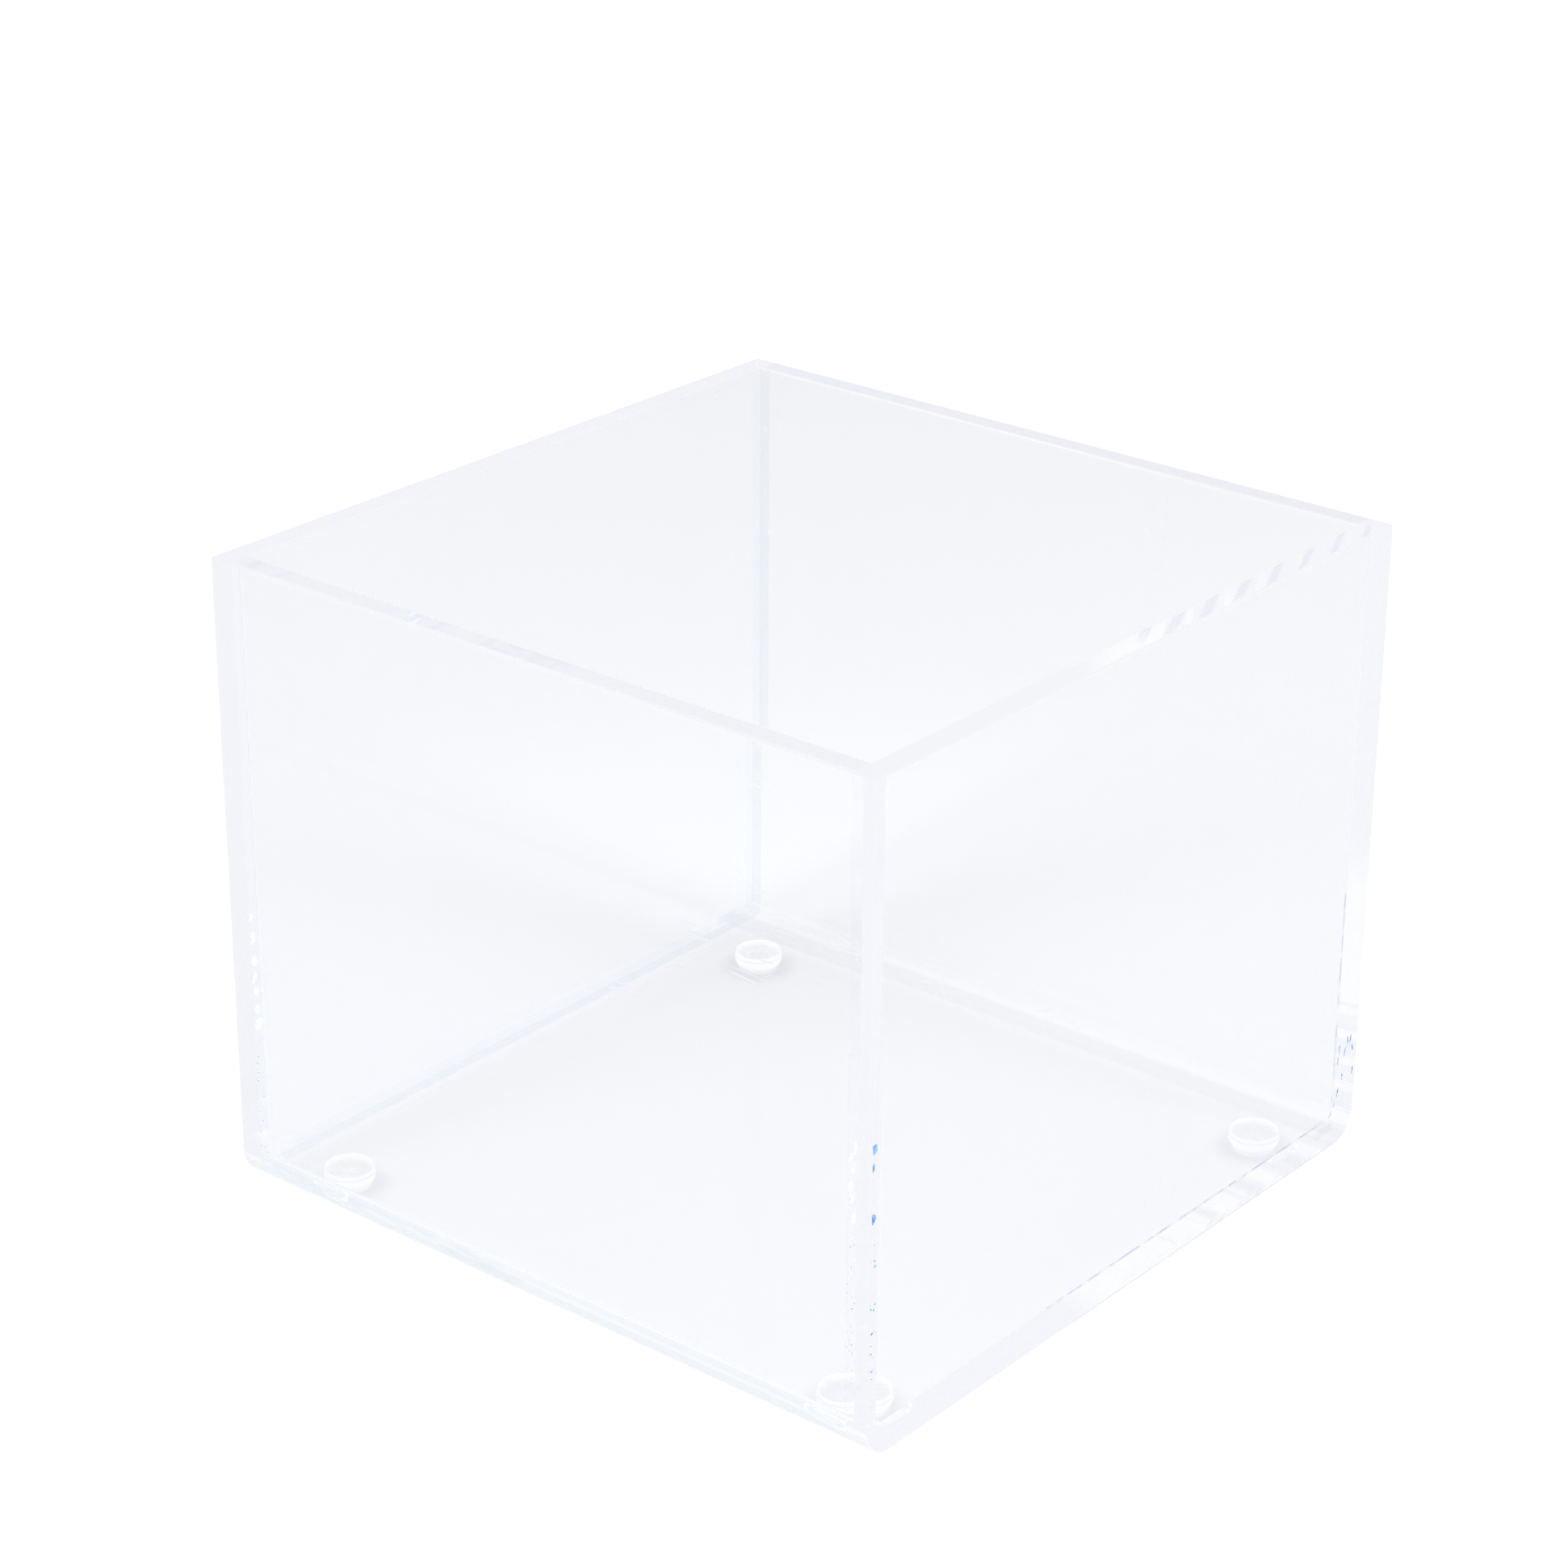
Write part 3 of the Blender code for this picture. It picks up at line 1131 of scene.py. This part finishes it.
@dataclass
class BentSheet:
    """One sheet bent twice, which makes the front wall, the floor and the back wall."""

    half_length: float
    half_depth: float
    low: float
    high: float
    thickness: float = 0.00476
    outer_radius: float = 0.00636
    edge_break: float = 0.0005
    break_segments: int = 3
    bend_segments: int = 24
    contact_steps: int = 48
    contact_margin: float = 1.3

    def folded_surface(self) -> Mesh:
        """The sheet's outside as an open surface with round bends, facing away from the inside of the box.

        Returns:
            The surface.
        """
        bm = bmesh.new()
        outline = ((-self.half_depth, self.high), (-self.half_depth, self.low),
                   (self.half_depth, self.low), (self.half_depth, self.high))
        verts = [bm.verts.new((-self.half_length, y, z)) for y, z in outline]
        sweep(bm, [bm.edges.new(pair) for pair in zip(verts, verts[1:])], 2 * self.half_length)
        folds = [edge for edge in bm.edges if runs_along_x(edge) and lies_at(edge, "z", self.low)]
        bevel(bm, folds, self.outer_radius, self.bend_segments)
        front = min(bm.faces, key=lambda face: face.calc_center_median().y)
        if front.normal.y > 0:
            bmesh.ops.reverse_faces(bm, faces=bm.faces[:])
        return bm

    def solid(self) -> Mesh:
        """The sheet at its full thickness, with the corners of both rims taken off.

        Returns:
            The closed mesh.
        """
        bm = self.folded_surface()
        thicken(bm, self.thickness)
        rims = [edge for edge in bm.edges if runs_along_x(edge) and lies_at(edge, "z", self.high)]
        bevel(bm, rims, self.edge_break, self.break_segments)
        return bm

    def end_ring(self) -> Mesh:
        """The flat faces of the right end alone.

        Returns:
            The open ring, facing +X.
        """
        bm = self.solid()
        others = [face for face in bm.faces if face.normal.x < ROUGHLY]
        bmesh.ops.delete(bm, geom=others, context="FACES")
        bm.normal_update()
        return bm

    def filled_end(self) -> tuple[Mesh, Face]:
        """The end ring with the opening inside it closed by one face.

        Returns:
            The flat mesh and the closing face.
        """
        bm = self.end_ring()
        inner_depth = self.half_depth - self.thickness + self.edge_break + NEARLY
        inner_low = self.low + self.thickness - NEARLY
        tops = [vert for vert in bm.verts if abs(vert.co.z - self.high) < NEARLY]
        closing = bm.edges.new(sorted(tops, key=lambda vert: abs(vert.co.y))[:2])
        loop = [
            edge for edge in bm.edges
            if edge.is_boundary and all(
                abs(vert.co.y) < inner_depth and vert.co.z > inner_low for vert in edge.verts)
        ]
        made = bmesh.ops.edgeloop_fill(bm, edges=[*loop, closing])["faces"][0]
        bm.normal_update()
        return bm, made

    def build(self, finishes: list[bpy.types.Material]) -> bpy.types.Object:
        """Builds the dressed sheet.

        Args:
            finishes: The materials in the order of Zone.

        Returns:
            The piece.
        """
        bm = self.solid()
        for face in bm.faces:
            face.material_index = self.zone_of(face)
        for corner in Corner:
            self.mark_contact(bm, corner)
        return piece_from(bm, "clear_bent_sheet", finishes)

    def zone_of(self, face: Face) -> Zone:
        """The finish that a face of the bent sheet has.

        Args:
            face: The face.

        Returns:
            Its zone.
        """
        middle = face.calc_center_median()
        slope = face.normal.z
        if abs(face.normal.x) > ROUGHLY:
            return Zone.BONDED
        if middle.z > self.high - self.edge_break:
            return Zone.CUT if slope > SQUARELY else Zone.EASED
        if middle.z < self.low + self.outer_radius:
            if middle.y < self.outer_radius - self.half_depth and NEARLY - 1 < slope < -NEARLY:
                return Zone.FRONT_BEND
            if middle.y > self.half_depth - self.outer_radius and NEARLY < slope < 1 - NEARLY:
                return Zone.BACK_BEND
        return Zone.POLISHED

    def mark_contact(self, bm: Mesh, corner: Corner) -> None:
        """Cuts a round patch into the floor's underside, where a foot's adhesive wets it.

        Args:
            bm: The sheet's closed mesh.
            corner: The foot's corner.
        """
        pad_low, pad_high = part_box(f"{corner.value}_adhesive_pad")
        radius = (pad_high.x - pad_low.x) / 2
        centre = (pad_low + pad_high) / 2
        centre.z = self.low
        reach = radius * self.contact_margin
        for axis in (Vector(RIGHTWARDS), Vector(BACKWARDS)):
            for way in (-reach, reach):
                under = [face for face in bm.faces if self.is_underside(face)]
                geom = {*under, *(edge for face in under for edge in face.edges),
                        *(vert for face in under for vert in face.verts)}
                bmesh.ops.bisect_plane(bm, geom=list(geom), dist=TOUCHING, plane_co=centre + axis * way,
                                       plane_no=axis)
                bm.normal_update()
        for step in range(self.contact_steps):
            turn = math.tau * step / self.contact_steps
            way = Vector((math.cos(turn), math.sin(turn), 0))
            disc = self.face_under(bm, centre)
            bmesh.ops.bisect_plane(bm, geom=[disc, *disc.edges, *disc.verts], dist=TOUCHING,
                                   plane_co=centre + way * radius, plane_no=way)
        self.face_under(bm, centre).material_index = Zone.BONDED
        bm.normal_update()

    def face_under(self, bm: Mesh, point: Vector) -> Face:
        """The face of the underside that a point lies in."""
        under = (face for face in bm.faces if self.is_underside(face))
        return next(face for face in under if bmesh.geometry.intersect_face_point(face, point))

    def is_underside(self, face: Face) -> bool:
        """Whether a face is part of the flat underside."""
        return face.normal.z < -SQUARELY and abs(face.calc_center_median().z - self.low) < NEARLY


@dataclass
class EndPanel:
    """A flat panel cemented over one end of the bent sheet, as round at its foot as the bends."""

    side: Side
    sheet: BentSheet
    inner_face: float
    outer_face: float
    edge_break: float = 0.0004
    break_segments: int = 3

    def build(self, finishes: list[bpy.types.Material]) -> bpy.types.Object:
        """Builds the dressed panel.

        Args:
            finishes: The materials in the order of Zone.

        Returns:
            The piece.
        """
        bm, opening = self.sheet.filled_end()
        for face in bm.faces:
            face.material_index = Zone.BONDED
        opening.material_index = Zone.POLISHED
        shift(bm, self.outer_face - self.sheet.half_length)
        thicken(bm, self.outer_face - self.inner_face)
        outer = [face for face in bm.faces if face.normal.x > ROUGHLY]
        bmesh.ops.dissolve_faces(bm, faces=outer, use_verts=False)
        bm.normal_update()
        bevel(bm, self.corners(bm), self.edge_break, self.break_segments)
        for face in bm.faces:
            if face.normal.x > SQUARELY:
                face.material_index = Zone.POLISHED
            elif face.normal.x > -SQUARELY:
                face.material_index = Zone.CUT if abs(face.normal.x) < HARDLY else Zone.EASED
        put_on_side(bm, self.side)
        return piece_from(bm, f"clear_{self.side.label}_panel", finishes)

    def corners(self, bm: Mesh) -> list[Edge]:
        """The edges that a scraper takes off: all round the outside, and the rim's inner side.

        Args:
            bm: The panel's closed mesh, on the right.

        Returns:
            The edges.
        """
        outside = [edge for edge in bm.edges if lies_at(edge, "x", self.outer_face)]
        inside_rim = [
            edge for edge in bm.edges
            if lies_at(edge, "x", self.inner_face) and lies_at(edge, "z", self.sheet.high)
            and edge.calc_length() > self.sheet.half_depth
        ]
        return outside + inside_rim


@dataclass
class CementSeam:
    """The film of set cement in one joint, and what has crept out of it inside the box."""

    side: Side
    sheet: BentSheet
    outer_face: float
    thickness: float
    crept_width: float
    crept_from: float
    crept_below_rim: float
    crept_thickness: float = 0.0001

    def build_film(self, finishes: list[bpy.types.Material]) -> bpy.types.Object:
        """Builds the film in the joint.

        Args:
            finishes: The material of its two broad faces and that of its narrow edge.

        Returns:
            The piece.
        """
        bm = self.sheet.end_ring()
        shift(bm, self.outer_face - self.sheet.half_length)
        thicken(bm, self.thickness)
        for face in bm.faces:
            face.material_index = int(abs(face.normal.x) < ROUGHLY)
        put_on_side(bm, self.side)
        return piece_from(bm, f"{self.side.label}_cement_film", finishes)

    def build_crept(self, finish: bpy.types.Material) -> bpy.types.Object:
        """Builds the thin strip of cement along the inside corner.

        Args:
            finish: Its material.

        Returns:
            The piece.
        """
        lifted = replace(self.sheet, thickness=self.sheet.thickness + CLOSE_FIT)
        bm, opening = lifted.filled_end()
        others = [face for face in bm.faces if face != opening]
        bmesh.ops.delete(bm, geom=others, context="FACES")
        sweep(bm, [edge for edge in bm.edges if not lies_at(edge, "z", self.sheet.high)], -self.crept_width)
        bm.normal_update()
        bmesh.ops.inset_region(bm, faces=self.faces_along_x(bm), thickness=self.crept_width,
                               use_even_offset=True, use_boundary=True)
        bm.normal_update()
        flat = self.faces_along_x(bm)
        inner = max(flat, key=lambda face: face.calc_area())
        top = [face for face in flat if face != inner and any(
            lies_at(edge, "z", self.sheet.high) for edge in face.edges)]
        bmesh.ops.delete(bm, geom=[inner, *top], context="FACES")
        self.trim(bm, Vector((0, self.crept_from, 0)), Vector((0, -1, 0)))
        self.trim(bm, Vector((0, 0, self.sheet.high - self.crept_below_rim)), Vector(UPWARDS))
        bmesh.ops.recalc_face_normals(bm, faces=bm.faces[:])
        bm.normal_update()
        floor_face = min(bm.faces, key=lambda face: face.calc_center_median().z)
        if floor_face.normal.z > 0:
            bmesh.ops.reverse_faces(bm, faces=bm.faces[:])
        shift(bm, self.outer_face - self.sheet.half_length)
        thicken(bm, self.crept_thickness)
        put_on_side(bm, self.side)
        return piece_from(bm, f"{self.side.label}_crept_cement", [finish])

    @staticmethod
    def faces_along_x(bm: Mesh) -> list[Face]:
        """The faces that look along X, either way."""
        return [face for face in bm.faces if abs(face.normal.x) > ROUGHLY]

    @staticmethod
    def trim(bm: Mesh, point: Vector, away: Vector) -> None:
        """Cuts off what lies beyond the plane through a point."""
        everything = [*bm.verts, *bm.edges, *bm.faces]
        bmesh.ops.bisect_plane(bm, geom=everything, plane_co=point, plane_no=away, clear_outer=True)


@dataclass(frozen=True)
class Cluster:
    """A run of bubbles up the joint of one wall, which is given by the sign of Y."""

    wall: int
    low: float
    high: float
    count: int
    smallest: float
    largest: float
    stretch: float = 1.5


@dataclass
class TrappedAir:
    """The air bubbles caught in one cement film."""

    side: Side
    middle: float
    sheet: BentSheet
    clusters: tuple[Cluster, ...]
    seed: int
    half_thickness: float = 0.00012
    widest_share: float = 0.4
    most_turn: float = 0.3
    around: int = 16
    rings: int = 10

    def build(self, finish: bpy.types.Material) -> bpy.types.Object:
        """Builds all the bubbles of this film as one piece.

        Args:
            finish: Their material.

        Returns:
            The piece.
        """
        draw = random.Random(self.seed)
        wall = self.sheet.thickness
        bm = bmesh.new()
        placed: list[tuple[float, float, float]] = []
        for cluster in self.clusters:
            for _ in range(cluster.count):
                tall = draw.uniform(cluster.smallest, cluster.largest)
                wide = min(tall * cluster.stretch, wall * self.widest_share)
                reach = wall / 2 - wide
                y = cluster.wall * (self.sheet.half_depth - wall / 2) + draw.uniform(-reach, reach)
                z = draw.uniform(cluster.low, cluster.high)
                size = max(tall, wide)
                if any(math.hypot(y - other_y, z - other_z) < other + size
                       for other_y, other_z, other in placed):
                    continue
                placed.append((y, z, size))
                turn = Matrix.Rotation(draw.uniform(-self.most_turn, self.most_turn), 4, "X")
                scale = Matrix.Diagonal((self.half_thickness, wide, tall, 1.0))
                spot = Matrix.Translation((self.side.value * self.middle, y, z))
                bmesh.ops.create_uvsphere(bm, u_segments=self.around, v_segments=self.rings, radius=1.0,
                                          matrix=spot @ turn @ scale)
        return piece_from(bm, f"{self.side.label}_trapped_air", [finish])


@dataclass
class RubberFoot:
    """A clear dome foot and the adhesive pad that wets both it and the floor."""

    corner: Corner
    skirt_height: float = 0.0005
    tip_radius: float = 0.002
    lip_radius: float = 0.00015
    lip_segments: int = 3
    dome_steps: int = 20
    turn_steps: int = 96

    def turned(self, profile: list[tuple[float, float]], name: str, finishes: list[bpy.types.Material],
               lip: float = 0.0) -> bpy.types.Object:
        """Turns a half section once round the foot's middle.

        Args:
            profile: The half section in XZ, from the upper middle to the lower middle.
            name: The piece's name.
            finishes: The material of the sides, and that of the flat faces in the upper half.
            lip: The radius on the upper edge.

        Returns:
            The piece.
        """
        low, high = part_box(f"{self.corner.value}_foot")
        middle = Vector(((low.x + high.x) / 2, (low.y + high.y) / 2, 0))
        bm = bmesh.new()
        verts = [bm.verts.new((out, 0, up)) for out, up in profile]
        edges = [bm.edges.new(pair) for pair in zip(verts, verts[1:])]
        bmesh.ops.spin(bm, geom=[*verts, *edges], cent=(0, 0, 0), axis=UPWARDS, dvec=(0, 0, 0),
                       angle=math.tau, steps=self.turn_steps, use_merge=True)
        bmesh.ops.remove_doubles(bm, verts=bm.verts[:], dist=TOUCHING)
        bmesh.ops.recalc_face_normals(bm, faces=bm.faces[:])
        top = max(up for _, up in profile)
        if lip:
            rim = [edge for edge in bm.edges if lies_at(edge, "z", top) and any(
                abs(face.normal.z) < HARDLY for face in edge.link_faces)]
            bevel(bm, rim, lip, self.lip_segments)
        bm.normal_update()
        for face in bm.faces:
            flat = abs(face.normal.z) > SQUARELY and face.calc_center_median().z > top / 2
            face.material_index = int(flat)
        bmesh.ops.translate(bm, verts=bm.verts[:], vec=middle)
        return piece_from(bm, name, finishes)

    def build_dome(self, finishes: list[bpy.types.Material]) -> bpy.types.Object:
        """Builds the dome.

        Args:
            finishes: The material of the rubber, and that of its flat top, which the adhesive wets.

        Returns:
            The piece.
        """
        low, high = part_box(f"{self.corner.value}_foot")
        radius = (high.x - low.x) / 2
        profile = [(0, high.z), (radius, high.z)]
        for step in range(self.dome_steps + 1):
            turn = math.pi / 2 * step / self.dome_steps
            profile.append((self.tip_radius + (radius - self.tip_radius) * math.cos(turn),
                            (high.z - self.skirt_height) * (1 - math.sin(turn))))
        profile.append((0, low.z))
        return self.turned(profile, f"clear_{self.corner.value}_foot", finishes, self.lip_radius)

    def build_pad(self, finishes: list[bpy.types.Material]) -> bpy.types.Object:
        """Builds the adhesive pad, which fills the whole gap between foot and floor.

        Args:
            finishes: The material of its round side, and that of its two flat faces.

        Returns:
            The piece.
        """
        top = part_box("bent_sheet")[0].z - CLOSE_FIT
        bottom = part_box(f"{self.corner.value}_foot")[1].z + CLOSE_FIT
        low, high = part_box(f"{self.corner.value}_adhesive_pad")
        radius = (high.x - low.x) / 2
        profile = [(0, top), (radius, top), (radius, bottom), (0, bottom)]
        return self.turned(profile, f"clear_{self.corner.value}_pad", finishes)


@dataclass(frozen=True)
class EndDetails:
    """What one end of the box has of its own: its edges' finish, its cement and its bubbles."""

    edge: CutEdge
    crept: CreptCement
    crept_width: float
    crept_from: float
    crept_below_rim: float
    clusters: tuple[Cluster, ...]
    seed: int


ENDS = {
    Side.LEFT: EndDetails(
        edge=CutEdge("left_cut_edge", BACKWARDS, tint=(0.935, 0.938, 0.96), back_tint=(0.925, 0.93, 0.955),
                     stain_share=0.3),
        crept=CreptCement(), crept_width=0.0023, crept_from=-0.0685, crept_below_rim=0.0015,
        clusters=(
            Cluster(-1, 0.0370, 0.0620, 40, 0.0008, 0.0014, 1.4),
            Cluster(-1, 0.0100, 0.0370, 24, 0.0001, 0.0003),
        ), seed=10),
    Side.RIGHT: EndDetails(
        edge=CutEdge("right_cut_edge", BACKWARDS, tint=(0.97, 0.972, 0.985), back_tint=(0.97, 0.972, 0.985),
                     stain_share=0.3, run_from=-0.004, run_to=0.074),
        crept=CreptCement("dashed_cement", tint=(0.99, 0.995, 1.0), ripple_tint=(0.87, 0.89, 0.94),
                          ripples=Mottle(320.0, 0.4, 0.6, detail=3.0)),
        crept_width=0.0003, crept_from=-0.022, crept_below_rim=0.07,
        clusters=(
            Cluster(-1, 0.0490, 0.0640, 40, 0.0009, 0.0015, 1.0),
            Cluster(-1, 0.0120, 0.0490, 40, 0.0001, 0.0003),
            Cluster(1, 0.0100, 0.0240, 14, 0.0006, 0.0014, 0.25),
        ), seed=12),
}


@dataclass
class StorageBox:
    """The whole box, in the order in which it is put together."""

    effects: Effects
    polished: PolishedSheet = PolishedSheet()
    # painted light: the outer face of the front bend is tinted pale blue, for the blue band of light along it
    front_bend: PolishedSheet = PolishedSheet("blue_lit_front_bend", tint=(0.87, 0.93, 0.96),
                                              smeared_tint=(0.86, 0.925, 0.955))
    # painted light: the inner face of the back bend keeps no tint, so that it shows a little lighter than the
    # rest of the sheet
    back_bend: PolishedSheet = PolishedSheet("lightened_back_bend", tint=(1.0, 1.0, 1.0),
                                             smeared_tint=(0.995, 0.996, 0.998))
    # the front rim's patches of painted shade, as runs along X
    rims: CutEdge = CutEdge("sheet_cut_edge", RIGHTWARDS, shade_blots=(
        (-0.0689, -0.0654), (-0.0612, -0.0587), (-0.0289, -0.0259), (-0.023, -0.02), (-0.0113, 0.0093)))

    def build(self) -> None:
        """Builds and dresses every piece."""
        sheet_low, sheet_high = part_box("bent_sheet")
        seam_low, seam_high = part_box("right_cement_seam")
        film = seam_high.x - seam_low.x
        film_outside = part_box("right_end_panel")[0].x - CLOSE_FIT
        sheet = BentSheet(half_length=film_outside - film - CLOSE_FIT, half_depth=sheet_high.y,
                          low=sheet_low.z, high=sheet_high.z)
        finishes = (self.polished, self.rims, BondedFace(), EasedCorner(), self.front_bend, self.back_bend)
        materials = [finish.build(self.effects) for finish in finishes]
        settle(sheet.build(materials), "clear_acrylic", "bent_sheet")
        air = TrappedAirSkin().build(self.effects)
        for side, details in ENDS.items():
            self.build_end(side, details, sheet, film, film_outside, materials, air)
        self.build_feet(materials[Zone.BONDED])

    def build_end(self, side: Side, details: EndDetails, sheet: BentSheet, film: float, film_outside: float,
                  materials: list[bpy.types.Material], air: bpy.types.Material) -> None:
        """Builds one end panel, its seam and the bubbles in it.

        Args:
            side: The end.
            details: What it has of its own.
            sheet: The bent sheet that it closes.
            film: The cement's thickness.
            film_outside: The X of the cement's outer face, on the right.
            materials: The sheet's materials in the order of Zone.
            air: The bubbles' material.
        """
        edge = details.edge.build(self.effects)
        panel_low, panel_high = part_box("right_end_panel")
        panel = EndPanel(side, sheet, panel_low.x, panel_high.x)
        dressed = [materials[Zone.POLISHED], edge, materials[Zone.BONDED], materials[Zone.EASED]]
        settle(panel.build(dressed), "clear_acrylic", f"{side.label}_end_panel")
        seam = CementSeam(side, sheet, film_outside, film, details.crept_width, details.crept_from,
                          details.crept_below_rim)
        cement = CementFilm(f"{side.label}_cement").build(self.effects)
        settle(seam.build_film([cement, edge]), "cement_film", f"{side.label}_cement_seam")
        settle(seam.build_crept(details.crept.build(self.effects)), "cement_film")
        bubbles = TrappedAir(side, film_outside - film / 2, sheet, details.clusters, details.seed)
        settle(bubbles.build(air), "cement_film")

    def build_feet(self, bonded: bpy.types.Material) -> None:
        """Builds the feet and the adhesive that holds them.

        Args:
            bonded: The finish of faces that touch.
        """
        rubber = ClearRubber().build(self.effects)
        film = AdhesiveFilm().build(self.effects)
        for corner in Corner:
            foot = RubberFoot(corner)
            settle(foot.build_dome([rubber, bonded]), "clear_urethane", f"{corner.value}_foot")
            settle(foot.build_pad([rubber, film]), "adhesive_film", f"{corner.value}_adhesive_pad")


@dataclass(frozen=True)
class PhotoCamera:
    """The camera, at the photograph's viewing angle, with no shift and no depth of field."""

    azimuth: float = math.radians(39.51)
    elevation: float = math.radians(23.7)
    roll: float = math.radians(0.34)
    distance: float = 0.7538
    lens: float = 92.3
    sensor: float = 36.0
    aim_right: float = -0.0044
    aim_up: float = 0.0162
    aim_height: float = 0.0674
    nearest: float = 0.01
    farthest: float = 50.0

    def build(self) -> None:
        """Places the camera and makes it the scene's."""
        level = math.cos(self.elevation)
        back = Vector((math.sin(self.azimuth) * level, -math.cos(self.azimuth) * level,
                       math.sin(self.elevation)))
        right = Vector((math.cos(self.azimuth), math.sin(self.azimuth), 0))
        up = back.cross(right)
        aim = right * self.aim_right + up * self.aim_up + Vector((0, 0, self.aim_height))
        rolled_right = right * math.cos(self.roll) + up * math.sin(self.roll)
        rolled_up = up * math.cos(self.roll) - right * math.sin(self.roll)
        turn = Matrix((rolled_right, rolled_up, back)).transposed().to_4x4()
        data = bpy.data.cameras.new("photo_camera")
        data.lens = self.lens
        data.sensor_width = self.sensor
        data.clip_start = self.nearest
        data.clip_end = self.farthest
        camera = bpy.data.objects.new("photo_camera", data)
        camera.matrix_world = Matrix.Translation(aim + back * self.distance) @ turn
        bpy.context.scene.collection.objects.link(camera)
        bpy.context.scene.camera = camera


@dataclass(frozen=True)
class Softbox:
    """A large soft lamp that looks at the box, and that no sharp reflection shows."""

    name: str
    bearing: float
    height_angle: float = math.radians(37)
    distance: float = 1.6
    size: float = 0.65
    power: float = 13.4

    def build(self) -> None:
        """Hangs the lamp."""
        data = bpy.data.lights.new(self.name, "AREA")
        data.shape = "SQUARE"
        data.size = self.size
        data.energy = self.power
        lamp = bpy.data.objects.new(self.name, data)
        level = math.cos(self.height_angle)
        way = Vector((math.cos(self.bearing) * level, math.sin(self.bearing) * level,
                      math.sin(self.height_angle)))
        turn = way.to_track_quat("Z", "Y").to_matrix().to_4x4()
        lamp.matrix_world = Matrix.Translation(way * self.distance) @ turn
        lamp.visible_glossy = False
        lamp.visible_transmission = False
        bpy.context.scene.collection.objects.link(lamp)


@dataclass(frozen=True)
class Studio:
    """The plain white ground, the soft light round it and the settings that clear sheet needs."""

    effects: Effects
    ground_size: float = 3.0
    softboxes: tuple[Softbox, ...] = (
        Softbox("front_softbox", math.radians(-103)),
        Softbox("right_softbox", math.radians(9)),
    )
    soft_light: Rgb = (0.555, 0.555, 0.56)
    overhead: Rgb = (0.9, 0.9, 0.91)
    level: Rgb = (0.92, 0.93, 0.965)
    overhead_from: float = 0.7

    def build(self) -> None:
        """Builds the ground, the world and the lamps."""
        self.build_ground()
        self.build_world()
        for softbox in self.softboxes:
            softbox.build()
        self.set_paths()

    def build_ground(self) -> None:
        """Lays the ground at the height of the feet's tips."""
        bm = bmesh.new()
        bmesh.ops.create_grid(bm, x_segments=1, y_segments=1, size=self.ground_size)
        mesh = bpy.data.meshes.new("ground")
        bm.to_mesh(mesh)
        bm.free()
        mesh.materials.append(Ground().build(self.effects))
        ground = bpy.data.objects.new("ground", mesh)
        bpy.context.scene.collection.objects.link(ground)

    def build_world(self) -> None:
        """Makes a soft light from all round, and shows glass a pale backdrop and the camera a white one."""
        world = bpy.data.worlds.new("soft_studio")
        bpy.context.scene.world = world
        world.use_nodes = True
        graph = Graph(world.node_tree)
        rise = graph.band(graph.along(graph.node("TexCoord").outputs["Generated"], UPWARDS), 0.0,
                          self.overhead_from)
        light = graph.shader("Background", Color=self.soft_light)
        backdrop = graph.shader("Background", Color=graph.mix_colour(rise, self.level, self.overhead))
        path = graph.node("LightPath").outputs
        sharp = graph.math("MAXIMUM", path["Is Glossy Ray"], path["Is Transmission Ray"])
        seen = graph.mix_shader(sharp, light, backdrop)
        shown = graph.mix_shader(path["Is Camera Ray"], seen, graph.shader("Background"))
        graph.feed(graph.node("OutputWorld"), Surface=shown)

    @staticmethod
    def set_paths() -> None:
        """Lets light turn back in the sheet as often as it has to."""
        scene = bpy.context.scene
        scene.view_settings.view_transform = "Standard"
        scene.cycles.max_bounces = MOST_TURNS
        scene.cycles.glossy_bounces = MOST_TURNS
        scene.cycles.transmission_bounces = MOST_TURNS
        scene.cycles.transparent_max_bounces = MOST_CLEAR_STEPS


def main() -> None:
    """Builds the camera, the studio and the box."""
    logging.basicConfig(level=logging.INFO, format="%(name)s: %(message)s")
    effects = Effects()
    PhotoCamera().build()
    Studio(effects).build()
    StorageBox(effects).build()


if __name__ == "__main__":
    main()
